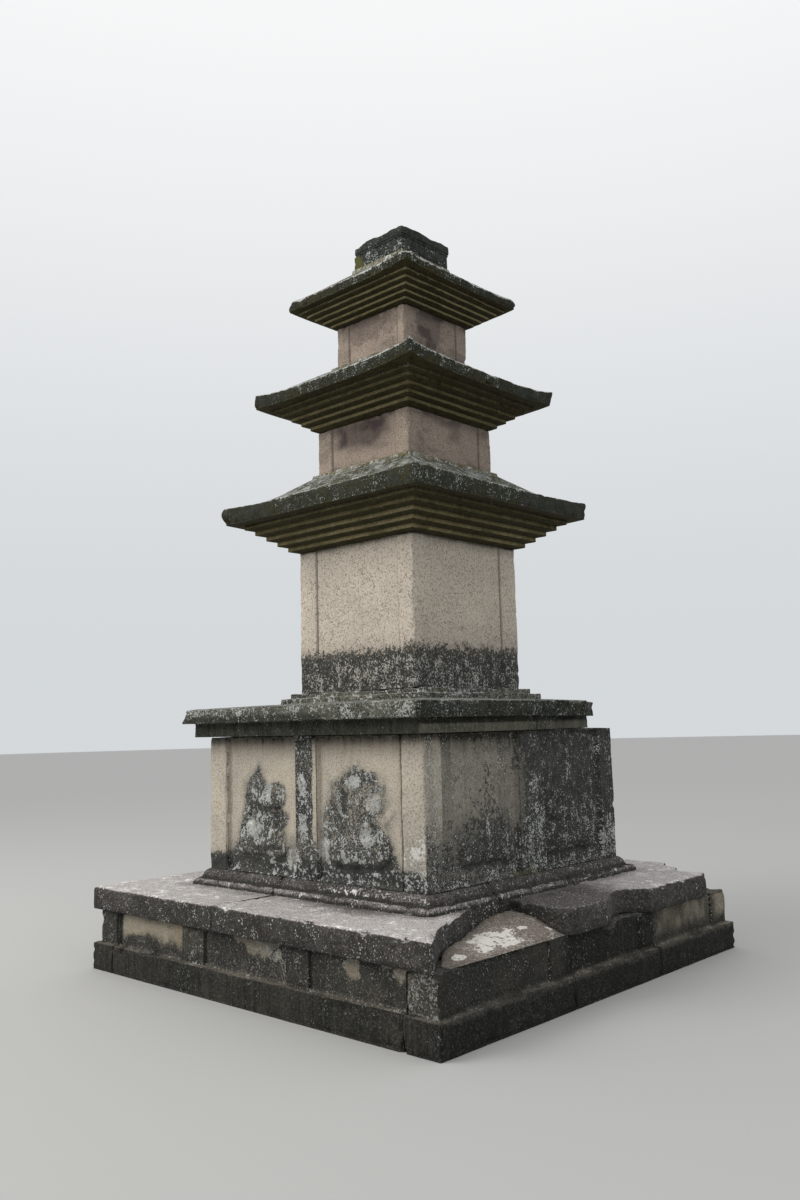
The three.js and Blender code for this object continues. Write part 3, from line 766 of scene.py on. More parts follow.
# Each limb is a rounded bar: start and end, radius, and how far it stands out. The start and end are
# measured from the figure's middle and from the ground.
FIGURES = {
    "peaked": [
        (15, 1225, 15, 1226, 138, 8), (-45, 1300, -42, 1322, 62, 17), (-40, 1340, -38, 1372, 30, 13),
        (-32, 1222, -28, 1234, 84, 25), (175, 1205, 178, 1208, 82, 21), (85, 1125, 150, 1170, 44, 17),
        (10, 1130, 8, 1010, 116, 26), (-140, 1130, -192, 1010, 46, 20), (-192, 1000, -60, 965, 44, 23),
        (120, 1090, 130, 985, 44, 20), (-150, 905, 150, 905, 98, 28), (-185, 872, 195, 868, 72, 28),
        (-200, 800, 215, 800, 26, 8),
    ],
    "broad": [
        (0, 1245, 0, 1246, 196, 8), (0, 1330, 4, 1372, 52, 18), (0, 1250, 0, 1276, 92, 26),
        (-205, 1190, -222, 1310, 46, 16), (165, 1205, 196, 1300, 42, 16), (-110, 1120, -198, 1190, 50, 21),
        (120, 1120, 176, 1200, 48, 21), (0, 1150, 0, 1000, 122, 27), (150, 1110, 205, 1000, 46, 21),
        (300, 1150, 200, 1065, 28, 9), (-190, 892, 180, 892, 96, 29), (-150, 838, 180, 838, 52, 21),
        (-230, 800, 240, 800, 24, 8),
    ],
    "staff": [
        (0, 1250, 0, 1251, 150, 8), (5, 1330, 6, 1350, 40, 14), (-2, 1232, 0, 1250, 84, 23),
        (-120, 1120, -190, 1020, 46, 19), (120, 1125, 180, 1030, 46, 19), (0, 1130, 0, 1000, 118, 25),
        (205, 830, 212, 1330, 26, 6), (-205, 892, 180, 892, 92, 27), (-215, 850, 205, 848, 56, 24),
    ],
    "scarf": [
        (0, 1310, 0, 1311, 176, 8), (0, 1402, 0, 1420, 44, 14), (-5, 1310, -3, 1335, 84, 23),
        (-135, 1180, -215, 1080, 48, 20), (140, 1185, 205, 1290, 44, 18), (0, 1190, 0, 1020, 124, 25),
        (-215, 1060, -60, 1010, 44, 22), (-215, 885, 225, 885, 96, 27), (-235, 838, 240, 838, 56, 23),
        (-240, 1180, -190, 1340, 34, 8),
    ],
}
FIGURE_HALF, FIGURE_LOW, FIGURE_HIGH = 360, 740, 1460  # the room that a figure has on its panel
PLACES = {
    "front": [("peaked", -495), ("broad", 470)],
    "right": [("staff", -432), ("scarf", 470)],
    "back": [("broad", -480), ("peaked", 470)],
    "left": [("scarf", -470), ("staff", 470)],
}


def relief(along, z, word, seed, folds=0.0):
    """How far the carved figures of a side stand out. Each limb is a bar from a to b: its height falls with
    the distance d from the bar as h * (1 - (d / r)^3)^(1/2), which leaves a broad worn top. The highest
    limb counts, less shallow folds: a sine of the height on the panel, bent along the figure."""
    total = np.zeros(np.shape(along))
    for figure, at in PLACES[word]:
        u = along - at
        near = (np.abs(u) < FIGURE_HALF) & (z > FIGURE_LOW) & (z < FIGURE_HIGH)
        p = np.stack([u[near], z[near]], -1)
        wobble = noise(np.c_[p, np.full(len(p), seed * 50.0)], 60, seed)
        p = p + 14 * wobble[:, None]
        height = np.zeros(len(p))
        for *ends, r, h in FIGURES[figure]:
            a, b = np.reshape(ends, (2, 2)).astype(float)
            bar = b - a
            t = np.clip((p - a) @ bar / (bar @ bar), 0, 1)
            d = np.linalg.norm(p - a - t[:, None] * bar, axis=1) / r
            height = most(height, h * np.sqrt(np.clip(1 - d**3, 0, 1)))
        wave = folds * np.sin(p[:, 1] / 15 + 1.6 * np.cos(p[:, 0] / 60))
        wave = wave * ease(p[:, 1], 780, 840) * (p[:, 1] < 1130)
        height = np.where(height > 6, height + wave * ease(height, 10, 18), height)
        total[near] = most(total[near], height * (0.88 + 0.12 * wobble))
    return np.clip(total, 0, PANEL_DEPTH - 1)


# Lichen on the front: its outline over the left and over the right figure, and its bright patches
LEFT_LICHEN = [
    (-524, 1410), (-470, 1312), (-427, 1262), (-400, 1215), (-425, 1150), (-400, 1100), (-230, 1060),
    (-262, 982), (-225, 850), (-200, 700), (-900, 700), (-834, 800), (-741, 923), (-683, 1043),
    (-638, 1114), (-690, 1189), (-670, 1296), (-606, 1330),
]
RIGHT_LICHEN = [
    (300, 1350), (364, 1395), (429, 1410), (483, 1391), (588, 1355), (675, 1325), (700, 1212),
    (670, 1120), (633, 1076), (708, 1001), (755, 914), (778, 845), (830, 700), (110, 700), (110, 874),
    (130, 1002), (180, 1164), (205, 1292),
]
FRONT_PALE = [
    (-390, 790, 44, 55), (-140, 800, 84, 90), (150, 870, 56, 90), (360, 800, 60, 46), (600, 757, 46, 26),
    (-30, 1010, 50, 90), (-40, 1300, 40, 70), (560, 1000, 70, 80), (600, 1190, 60, 70), (-420, 1240, 40, 60),
    (-560, 980, 80, 60), (420, 1310, 60, 50),
]
# Dark hollows of the front's figures: how soft the edge is, how far it sways, and the outline
FRONT_SHADOWS = [
    (16, 12, [(250, 810), (500, 800), (740, 850), (760, 800), (500, 745), (240, 770)]),
    (12, 8, [(308, 1270), (345, 1270), (372, 1120), (335, 1110)]),
    (14, 10, [(-560, 870), (-260, 880), (-260, 850), (-560, 840)]),
    (14, 10, [(-610, 1165), (-420, 1140), (-270, 1135), (-270, 1100), (-420, 1100), (-600, 1120)]),
]


def front_lichen(x, z, drift, fine):
    """Where lichen covers the front of the upper base: over the figures, up the middle pilaster and along
    the foot."""
    sway = 20 * fine + 14 * drift
    left = blot(x, z, LEFT_LICHEN, 46, 24 + 1.3 * sway)
    left = most(left, 0.9 * oval(x, z, (-330, 1205, 112, 112), 0.35 * fine))
    right = blot(x, z, RIGHT_LICHEN, 52, 20 + 1.4 * sway)
    right = right * (1 - 0.22 * oval(x, z, (600, 1240, 90, 110), 0.8 * fine))
    pillar = within(x + 0.5 * sway, -110, 62, 14) * (0.85 + 0.25 * drift)
    low = within(x + sway, -330, 330, 60) * fall(z + 2 * sway, 840, 980)
    return np.clip(most(left, 0.92 * right, pillar, fall(z + 1.8 * sway, 750, 850), 0.85 * low), 0, 1)


def wall(node, seed):
    box, z0, z1 = extent(node)
    word = node.split("_")[1]
    i = SIDES.index(word)
    panels = {word: WALL_PANELS[word]}
    fine = 9 if word in SHOWN else 18
    steps = [fine if k == i or (i % 2 and k in (0, 2)) else 80 for k in range(4)]
    grid, side, _ = rings(block_rows(box, z0, z1, [40, fine, 40], (5, 7)), box, steps, 9, edges_of(panels))
    down = sunk(grid, side, panels, z0 + PANEL_MARGIN, z1 - PANEL_MARGIN, PANEL_DEPTH)
    figures = np.where(side == i, relief(grid[..., i % 2], grid[..., 2], word, seed, 2.4), 0) * (down > 20)
    grid = weathered(pushed_in(grid, side, down - figures), seed, 2.4, 18, 40, 6)

    def masks(p, n):
        drift, fine, tiny = noise(p, 260, seed + 31), noise(p, 60, seed + 32), noise(p, 22, seed + 33, 2)
        run, z = p[:, i % 2], p[:, 2]

        def height(du=0, dz=0):
            return relief(run + du, z + dz, word, seed)

        def around(off):
            """The mean height of the figures at four points round each point."""
            return sum(height(du, dz) for du, dz in ((off, 0), (-off, 0), (0, off), (0, -off))) / 4

        figure = height()
        # Painted shade: darker in the panel corners, where a figure's surface lies lower than around it, and
        # under the laps of the figures
        hollow = most(0.6 * ease(around(26) - figure, 1.5, 7.0), 0.7 * ease(around(60) - figure, 1.0, 10.0))
        below = ease(height(0, 34) - figure, 6, 20) * fall(z, 860, 900)
        recess_shade = recess_shade_lines(p, [ease(np.abs(n[:, 1 - i % 2]), 0.4, 0.8)] * 4, panels)
        streaks = noise(p * [1, 1, 0.12], 50, seed + 34)
        shade = 0.5 * ease(z + 22 * streaks, 1410, 1600) + 0.5 * ease(z + 14 * streaks, 1535, 1606)
        coarse, moss = 0.05, 0.0
        if word in ("front", "back"):
            lichen = front_lichen(run, z, drift, fine)
            foot = fall(z + 26 * fine + 14 * drift, 760, 850)
            bright = ovals(run, z, FRONT_PALE, 0.6 * fine)
            shadows = (blot(run, z, outline, soft, sway * fine) for soft, sway, outline in FRONT_SHADOWS)
            shadow = most(*shadows)
            crust = 0.66 * lichen + 0.2 * drift + 0.14 * within(run, -111, 107, 10)
            film = 0.08 + 0.14 * lichen + 0.5 * foot * (1 - bright) + 0.5 * shadow
            film = film + 0.12 * ease(streaks, 0.1, 0.6)
            warm = 0.78 - 0.5 * lichen + 0.2 * drift + 0.15 * streaks
            pale = 0.30 * bright * lichen
            flecks = 0.50 * lichen - 0.06 * foot + 0.08 * drift + 0.19 * bright - 0.2 * shadow
            flecks = flecks + 0.20 * (1 - lichen)
            coarse = 0.5 + 0.5 * fall(z, 830, 900)
        else:
            dark = ease(run + 60 * drift + 25 * fine, -170, 30)
            corner = fall(run + 10 * fine, -905, -880) * ease(z + 60 * fine, 880, 1150)
            bright = within(run + 18 * fine, -10, 100, 22) * ease(z, 720, 780)
            bright = bright * fall(z + 60 * drift, 1240, 1400)
            bright = bright * (0.55 + 0.6 * ease(fine + streaks, -0.4, 0.4))
            low = fall(z + 100 * drift + 60 * fine, 820, 1260)
            crust = 0.30 + 0.40 * dark + 0.12 * ease(figure, 3, 12) + 0.28 * low * (1 - dark) + 0.2 * drift
            crust = crust - 0.1 * bright - 0.12 * corner
            film = 0.30 + 0.32 * dark + 0.16 * low - 0.2 * bright - 0.22 * corner
            film = film + 0.2 * ease(streaks, -0.2, 0.5)
            warm = 0.25 - 0.25 * dark + 0.28 * corner + 0.16 * drift
            pale = 0.06 * corner * low
            flecks = 0.29 + 0.07 * dark + 0.12 * low + 0.14 * bright + 0.06 * corner
            flecks = flecks + 0.12 * drift + 0.14 * streaks
            moss = 0.5 * fall(z + 26 * fine, 700, 735) * within(run, -200, 120, 40)
            # The end that shows on the front, and the white foot of the near pilaster
            end = ease(-p[:, 1], 1030, 1040) * ease(-n[:, 1], 0.5, 0.9)
            split = fall(z + 50 * drift + 50 * fine, 735, 850)
            white = fall(z + 60 * drift + 40 * fine, 880, 1300) * (word == "right")
            at_end = (0.05 + 0.8 * split, 0.04 + 0.4 * split, 0.72 - 0.3 * white,
                      0.10 + 0.38 * white * (1 - split) - 0.1 * split, 0.24 + 0.26 * white)
            on_face = crust, film, warm, pale, flecks
            crust, film, warm, pale, flecks = (
                mask * (1 - end) + end * other for mask, other in zip(on_face, at_end))
        film = most(film + 0.8 * shade, 0.95 * recess_shade, 0.8 * below, 0.55 * hollow)
        flecks = flecks * (1 - 0.5 * below) - 0.10 * hollow
        return marks(crust=crust, film=film, warm=warm, pale=pale, flecks=flecks, coarse=coarse, moss=moss,
                     rust=0.3 * ease(tiny + drift, 0.7, 1.1))

    stone(node, [grid], "granite_upper_base", masks)


for index, word in enumerate(SIDES):
    wall("wall_" + word, 300 + 10 * index)


# Cap slabs

CAP_EDGE_LOW, CAP_EDGE_TOP, CAP_SLOPE_TOP = 1712, 1814, 1838
CAP_JOINT = 70.5  # where the far cap slab begins
CAP_STEPS = (693, 1880), (635, 1914)  # the half width and the top of its two low steps
CAP_BREAKS = [
    (-1203, -1203, 1790, 90, 90, 60, 24, 24, -10), (1140, -1203, 1814, 60, 60, 40, -14, 14, -12),
    (-500, -1203, 1814, 120, 50, 30, 0, 16, -10), (260, -1203, 1712, 110, 50, 30, 0, 14, 8),
    (820, -1203, 1814, 90, 50, 26, 0, 14, -8), (1140, -700, 1814, 50, 120, 30, -16, 0, -10),
    (1140, -150, 1712, 50, 110, 30, -14, 0, 8), (635, -635, 1914, 50, 50, 40, -14, 14, -14),
    (693, -300, 1880, 40, 90, 26, -14, 0, -8), (100, -693, 1880, 110, 40, 24, 0, 12, -8),
]
CAP_FAR_BREAKS = [(1140, 190, 1712, 70, 130, 60, -40, 0, 10), (1120, 620, 1712, 60, 90, 40, -20, 0, 8)]
# The far cap slab with its broken corner, and the smaller outline of its fillet: corners and the runs'
# roughness
CAP_FAR = [
    (-1203, CAP_JOINT, 0), (1138, CAP_JOINT, 4), (1104, 190, 8), (1122, 330, 8), (1128, 560, 10),
    (1090, 690, 12), (985, 800, 12), (960, 930, 12), (865, 1040, 12), (820, 1203, 3), (-1203, 1203, 3),
]
CAP_FAR_FILLET = [
    (-1134, CAP_JOINT, 0), (1082, CAP_JOINT, 3), (1070, 260, 10), (1040, 420, 10), (1046, 640, 10),
    (960, 760, 10), (900, 900, 10), (800, 1134, 3), (-1134, 1134, 3),
]


def cap_masks(p, n):
    x, _, z = p.T
    drift = noise(p, 240, 41)
    top, right = ease(n[:, 2], 0.35, 0.85), ease(n[:, 0], 0.3, 0.8)
    step = ease(z, CAP_SLOPE_TOP, CAP_SLOPE_TOP + 7)
    fillet = fall(z, CAP_EDGE_LOW - 7, CAP_EDGE_LOW + 4)
    fascia = (1 - fillet) * fall(z, CAP_EDGE_TOP - 8, CAP_EDGE_TOP + 4)
    left_low = fascia * fall(z + 12 * noise(p, 50, 42), 1740, 1775) * (1 - right)
    left_low = left_low * fall(x + 60 * drift, 100, 500)
    # Painted shade: the fillet under the overhanging fascia is dark, darkest in a strip at its top on the
    # right, and the fascia on the right side is darker
    return marks(
        crust=0.54 + 0.2 * drift + 0.05 * step - 0.2 * right * fillet,
        film=0.40 * fascia + 0.9 * fillet * (1 - 0.4 * right) + 0.2 * drift + 0.55 * right * fascia
        + 0.4 * left_low + 0.6 * right * fillet * ease(z, 1664, 1680),
        warm=0.22 + 0.2 * drift + 0.5 * step + 0.3 * right * fillet,
        pale=0.34 * step + 0.14 * top + 0.05 * fascia,
        flecks=fascia * (0.50 - 0.17 * right) + (0.50 - 0.05 * step) * (1 - fascia) * (1 - fillet)
        + 0.07 * drift + 0.26 * fillet - 0.12 * left_low,
        coarse=0.1 + 0.4 * step,
    )


def cap_near():
    edge, z0, z1 = extent("cap_near")
    x0, x1, y0, y1 = edge
    under = [x0 + 69, x1 - 45, y0 + 69, y1]
    (half, level), (upper_half, _) = CAP_STEPS
    slope, first, second = ([-reach, reach, -reach, y1] for reach in (half + 27, half, upper_half))
    rows = dense(
        [shrunk(under, z0), [*under, z0], [*under, CAP_EDGE_LOW], [*edge, CAP_EDGE_LOW],
         [*edge, CAP_EDGE_TOP], [*slope, CAP_SLOPE_TOP], [*first, CAP_SLOPE_TOP + 2], [*first, level],
         [*second, level], [*second, z1], shrunk(second, z1)],
        [90, 10, 13, 10, 24, 12, 9, 12, 9, 90],
        [0, 4, 7, 7, 10, 5, 4, 7, 4, 7, 0],
    )
    grid = dented(rings(rows, edge, [14, 14, 90, 26], 12)[0], CAP_BREAKS, 402)
    stone("cap_near", [weathered(grid, 401, 4, 50, 42, 7)], "granite_cap", cap_masks)


def cap_far():
    centre = (-60, 600)
    outline, _ = resampled([c[:2] for c in CAP_FAR], 18, [c[2] for c in CAP_FAR], 43)
    rows = [(scale, 4, 1702) for scale in (0.02, 0.5, 0.86, 0.93, 1)]
    rows += [(1, 0, z) for z in np.linspace(CAP_EDGE_LOW, 1802, 9)]
    rows += [(1, 2, 1808), (1, 7, 1813), (1, 16, 1815)]
    rows += [(s, 0, 1815 + 21 * ease(1 - s, 0, 0.42)) for s in np.linspace(0.97, 0.5, 20)]
    flat = outline_rings(outline, rows + [(0.2, 0, 1836), (0.02, 0, 1836)], centre)
    broken = ease(flat[..., 1], 90, 200) * ease(flat[..., 0], 700, 1000) * fall(flat[..., 2], 1730, 1800)
    flat[..., 0] -= 34 * broken * (0.6 + noise(flat, 120, 44, 2))
    grids = [weathered(dented(flat, CAP_FAR_BREAKS, 407), 404, 4, 45, 60, 9)]
    outline, _ = resampled([c[:2] for c in CAP_FAR_FILLET], 20, [c[2] for c in CAP_FAR_FILLET], 45)
    rows = [(scale, 3, 1613.5) for scale in (0.02, 0.5, 0.9, 1)]
    rows += [(1, 0, z) for z in np.linspace(1618, 1722, 9)]
    rows += [(scale, 0, 1724) for scale in (0.9, 0.5, 0.02)]
    grids.append(weathered(outline_rings(outline, rows, centre), 405, 3, 20, 50, 8))
    for (half, top), low in zip(CAP_STEPS, (1790, 1850)):
        box = [-half, half, CAP_JOINT, half]
        grid = rings(block_rows(box, low, top, [90, 10, 60], (3, 7)), box, [90, 14, 24, 24], 9)[0]
        grids.append(weathered(grid, 406 + half, 3, 12, 40, 6))
    stone("cap_far", grids, "granite_cap", cap_masks)


cap_near()
cap_far()


# Storey bodies: how deep their panels are sunk, and the panels of the four sides

BODIES = {
    "body_1": (14, (-394, 428), (-440, 388), (-400, 400), (-400, 400)),
    "body_2": (12, (-315, 338), (-304, 325), (-318, 318), (-318, 318)),
    "body_3": (10, (-226, 280), (-186, 230), (-224, 224), (-224, 224)),
}
BODY_BREAKS = [
    (578, -578, 2640, 30, 30, 80, -9, 9, 0), (578, -578, 2490, 34, 34, 60, -11, 11, 0),
    (578, -578, 2350, 24, 24, 40, -7, 7, 0), (578, -578, 2180, 26, 26, 50, -8, 8, 0),
    (440, -578, 2290, 26, 18, 22, 0, 9, 0), (428, -578, 2240, 16, 14, 40, 0, 8, 0),
    (470, -470, 3820, 26, 26, 60, -9, 9, 0), (357, -357, 4600, 24, 24, 50, -8, 8, 0),
]
SECOND_STAIN = [(-250, 3730), (-225, 3850), (-60, 3890), (200, 3870), (250, 3780), (120, 3690), (-60, 3700)]


def body(node, seed):
    depth, *sides = BODIES[node]
    panels = {word: [side] for word, side in zip(SIDES, sides)}
    box, z0, z1 = extent(node)
    step = 13 if node == "body_1" else 11
    rows = block_rows(box, z0, z1, [70, step, 70], (7, 8), 5)
    grid, side, _ = rings(rows, box, [step, step, 2.4 * step, 2.4 * step], 11, edges_of(panels))
    grid = pushed_in(grid, side, sunk(grid, side, panels, z0 + 2, z1 - 2, depth))
    grid = weathered(dented(grid, BODY_BREAKS, seed), seed, 2.6, 30, 36, 6)

    def masks(p, n):
        drift, fine, tiny = noise(p, 220, seed + 1), noise(p, 50, seed + 2), noise(p, 20, seed + 4, 2)
        x, y, z = p.T
        right, top = ease(n[:, 0], 0.3, 0.8), ease(z, z1 - 90, z1 - 5)
        recess_shade = recess_shade_lines(p, facing(n, 0.4), panels, 6)
        if node == "body_1":
            rise = z + 26 * drift + 30 * fine + 14 * tiny
            low = 0.66 * fall(rise, 2085, 2275) + 0.34 * fall(rise, 2140, 2450)
            # Painted shade: darker at the top under the roof, in the panel corners and a little on the right
            # side
            film = 0.02 + 0.3 * low + 0.1 * right + 0.35 * top + 0.12 * ease(drift, 0.2, 0.7)
            return marks(
                crust=0.86 * low + 0.1 * drift,
                film=most(film, 0.8 * recess_shade) + 0.5 * ease(z + 12 * fine, z1 - 22, z1 - 8),
                warm=0.78 + 0.3 * drift - 0.3 * low - 0.1 * right,
                pale=0.16 * (1 - low),
                flecks=0.45 * low + 0.08 * drift,
                coarse=0.0,
                rust=0.35 * ease(tiny + 0.6 * drift, 0.75, 1.1) * (1 - low),
            )
        middle = 0.5 * (z0 + z1)
        stain = ease(noise(p * [1, 1, 1.8], 160, seed + 3), 0.0, 0.4)
        if node == "body_2":
            crown = blot(x, z, SECOND_STAIN, 70, 30 * fine) * (1 - right)
        else:
            crown = 0.5 * oval(x, z, (-60, middle + 90, 230, 130), 0.6 * fine) * (1 - right)
            crown = crown + 0.55 * right * oval(y, z, (-70, middle + 60, 190, 170), 0.6 * fine)
        base = fall(z + 14 * fine, z0 + 6, z0 + 40)
        # Painted shade: darker at the top under the roof, in the panel corners and a little on the right side
        return marks(
            crust=0.08 + 0.12 * right + 0.2 * base + 0.12 * drift,
            film=most(0.12 + 0.26 * stain + 0.6 * crown + 0.12 * right + 0.3 * top, 0.8 * recess_shade),
            warm=0.75 + 0.35 * drift - 0.3 * crown,
            pale=0.12 * ease(fine, 0.3, 0.7),
            flecks=0.18 + 0.1 * base,
            rust=0.35 * base * (1 - right) + 0.25 * ease(tiny + drift, 0.6, 1.0),
        )

    stone(node, [grid], "granite_cream" if node == "body_1" else "granite_pink", masks)


for index, name in enumerate(BODIES):
    body(name, 500 + 10 * index)


# Roof stones, as half widths and heights from the bottom up: five courses, the eave, the slope and a low
# step. The undersides of the courses rise outwards: each face is "faces" mm above the level of its course
# at its lower and at its upper edge. The third number of an upper row is how far it turns up at the
# corners. "corners" is how far the front left, near, right and far corner stand above that, and "nose" how
# far the near corner's tip does. A cut is a point on the break of a corner and the way the break faces.

ROOFS = {
    "roof_1": {
        "bottom": 2970.5, "rise": 43.5, "seat": 574, "courses": (640, 698, 756, 815, 873),
        "faces": [(11, -2), (11, -2), (11, -2), (11, -2), (11, -3)], "corners": (0, -18, 0, 0),
        "upper": [
            (969, 3180, 12), (979, 3250, 18), (983, 3299, 24), (890, 3312, 12), (800, 3349, 4),
            (700, 3404, 0), (620, 3460, 0), (560, 3500, 0), (506, 3538, 0), (502, 3563, 0)],
        "cuts": [((972, 972, 3316), (0.5, 0.5, 0.8)), ((960, -960, 3322), (0.3, -0.3, 1.0))],
    },
    "roof_2": {
        "bottom": 3899.5, "rise": 36, "seat": 466, "courses": (513, 563, 614, 668, 720),
        "faces": [(21, 11), (20, 9), (20, 9), (20, 8), (14, 2)], "corners": (0, 22, 0, 0), "nose": 45,
        "upper": [
            (808, 4077, 18), (817, 4116, 30), (826, 4160, 44), (738, 4192, 14), (640, 4252, 4),
            (550, 4308, 0), (450, 4364, 0), (396, 4388, 0), (392, 4410, 0)],
        "cuts": [((-806, -806, 4150), (-1, -1, 0.15)), ((-812, -812, 4190), (-0.6, -0.6, 0.9))],
    },
    "roof_3": {
        "bottom": 4727.5, "rise": 28, "seat": 353, "courses": (398, 441, 484, 528, 571),
        "faces": [(8, 0), (7, 0), (6, 0), (5, -1), (5, -2)], "corners": (0, 23, 8, 0),
        "upper": [
            (627, 4862, 8), (634, 4892, 14), (641, 4921, 20), (573, 4966, 6), (470, 5035, 0),
            (375, 5103, 0), (300, 5156, 0), (276, 5172, 0), (272, 5205, 0)],
        "cuts": [((-618, -618, 4905), (-0.6, -0.6, 0.9)), ((-622, -622, 4892), (-0.8, -0.8, -0.7)),
                 ((628, 628, 4925), (0.5, 0.5, 0.9)), ((618, -618, 4935), (0.4, -0.4, 1.0))],
    },
}
TOP_SLIP = 5  # how far the third roof and the finial base have slipped towards the back right
# The bulge at the front left corner of the first roof's eave: its middle and reach, and how far it stands out
BULGE_AT, BULGE_REACH, BULGE = [-979, -979, 3262], [130, 130, 52], 15


def roof(node, seed):
    form = ROOFS[node]
    bottom, rise, upper = form["bottom"], form["rise"], form["upper"]
    controls = [(4, bottom, 0), (form["seat"], bottom, 0)]
    for i, (half, (foot, head)) in enumerate(zip(form["courses"], form["faces"])):
        controls += [(half, bottom + rise * i + foot, 0), (half, bottom + rise * (i + 1) + head, 0)]
    slopes = len(upper) - 3
    levels = dense(
        [*controls, *upper, (4, upper[-1][1], 0)],
        [90, 14] + [9] * 9 + [14, 10, 10] + [26] * slopes + [90],
        [0, 2] + [5, 4] * 5 + [5, 12, 8] + [20] * (slopes - 2) + [6, 6, 0],
    )
    half, z, lift = levels.T[..., None]
    grid, share = square_rings(half, z, upper[2][0], [17, 17, 46, 46], 9)
    left, near, right, far = form["corners"]
    front = grid[..., 1] < 0
    extra = np.where(grid[..., 0] > 0, np.where(front, near, right), np.where(front, left, far))
    along = np.abs(2 * share - 1)
    nose = form.get("nose", 0) * (along**40 - along**8) * (extra == near) * ease(lift, 20, 40)
    grid[..., 2] += lift * along**4 + extra * along**3 * np.clip(lift / 8, 0, 1) + nose
    if node == "roof_1":
        swell = np.clip(1 - (((grid - BULGE_AT) / BULGE_REACH) ** 2).sum(-1), 0, 1)
        grid[..., :2] -= BULGE * swell[..., None]
    if node == "roof_3":
        grid[..., :2] += TOP_SLIP
    for k, (at, outward) in enumerate(form["cuts"]):
        grid = sheared(grid, at, outward, seed + 40 + k)
    eave_low, eave_high, step_top = upper[0][1], upper[2][1], upper[-2][1]
    grid = weathered(grid, seed, 2.4, 70, 36, 6, eave_low - 12, eave_high + 40)

    def masks(p, n):
        drift, fine, tiny = noise(p, 200, seed + 1), noise(p, 45, seed + 2), noise(p, 20, seed + 3, 2)
        x, y, z = p.T
        across, inner = most(np.abs(x), np.abs(y)), np.minimum(np.abs(x), np.abs(y))
        level = z - upper[2][2] * (inner / (across + 1e-6)) ** 4
        # Painted shade: the faces under the eave that look down, and a little those that look right, are darker
        down = ease(-n[:, 2], 0.25, 0.7)
        under = most(fall(z, eave_low - 10, eave_low + 2), down)
        edge = (1 - under) * fall(n[:, 2], 0.3, 0.7) * fall(level, eave_high + 20, eave_high + 60)
        above = (1 - under) * (1 - edge)
        rim = ease(level + 8 * fine, eave_high - 22, eave_high + 4) * edge
        # Painted highlight: a pale line along the eave's upper edge
        eave_highlight = within(level + 4 * fine, eave_high - 9, eave_high + 7, 5) * (1 - under)
        front, right, _, _ = facing(n, 0.3, 0.7)
        damp = most(ease(-x + 120 * drift, 200, 760) * front, ease(y + 120 * drift, 0, 560) * right)
        course = under * (1 - down)
        # Painted shade: the upper part of each course face is darker
        course_top_shade = ease(((z - bottom) / rise) % 1, 0.45, 1.0)
        low_course = fall((z - bottom) / (5 * rise), 0.35, 0.95)
        wet = noise(p * [1, 1, 0.15], 40, seed + 4)
        step, third = ease(z, step_top - 12, step_top - 2), node == "roof_3"
        return marks(
            crust=edge * (0.66 + 0.2 * drift) + above * (0.58 + 0.2 * drift) * (1 - 0.3 * step),
            film=course * (0.36 - 0.28 * low_course + 0.25 * drift + 0.2 * wet - 0.36 * third + 0.3 * course_top_shade)
            + 0.76 * down * under + 0.2 * ease(n[:, 0], 0.3, 0.8) * under
            + edge * (0.60 - 0.6 * rim + 0.5 * damp) + above * (0.05 + 0.5 * ease(fine - drift, 0.0, 0.4)),
            warm=0.2 + course * (0.40 + 0.45 * low_course + 0.4 * third) + 0.2 * drift + 0.4 * step,
            pale=0.40 * above * ease(fine + tiny, -0.3, 0.4) + 0.2 * rim + 0.1 * step + 0.4 * eave_highlight,
            flecks=edge * (0.36 + 0.16 * rim - 0.2 * damp) + above * 0.56 + 0.10 * drift,
            coarse=0.05 + 0.4 * above,
        )

    stone(node, [grid], "granite_roof", masks)


for index, name in enumerate(ROOFS):
    roof(name, 600 + 10 * index)


# Finial base

FINIAL_LOW, FINIAL_TOP = 5205.5, 5400
GROOVE_LOW, GROOVE_TOP = 5312, 5332  # the groove below the rim
FINIAL = [
    [4, FINIAL_LOW], [262, FINIAL_LOW], [262, GROOVE_LOW], [267, GROOVE_LOW + 2], [267, GROOVE_TOP],
    [272, GROOVE_TOP + 2], [272, FINIAL_TOP], [4, FINIAL_TOP],
]
FINIAL_BREAKS = [
    (-230, -267, 5400, 95, 60, 26, 0, 6, -15), (-262, -262, 5360, 50, 40, 60, 8, 6, 0),
    (277, -267, 5400, 60, 50, 40, -12, 0, 0), (60, -267, 5400, 90, 30, 16, 0, 6, -5),
    (277, 90, 5400, 30, 90, 16, -6, 0, -5),
]


def finial():
    half, z = dense(FINIAL, [60, 8, 6, 6, 6, 8, 30], [0, 5, 3, 3, 3, 3, 9, 0]).T[..., None]
    grid, _ = square_rings(half, z, FINIAL[-2][0], [8] * 4, 9)
    grid[..., :2] += TOP_SLIP
    corner = oval(grid[..., 0], grid[..., 1], (-262, -262, 75, 60))
    corner = corner * ease(grid[..., 2], GROOVE_LOW - 4, GROOVE_LOW + 4)
    grid[..., :2] += 9 * corner[..., None]
    grid = weathered(dented(grid, FINIAL_BREAKS, 703), 701, 3, 26, 30, 6)
    stone("finial_base", [grid], "granite_finial", finial_masks)


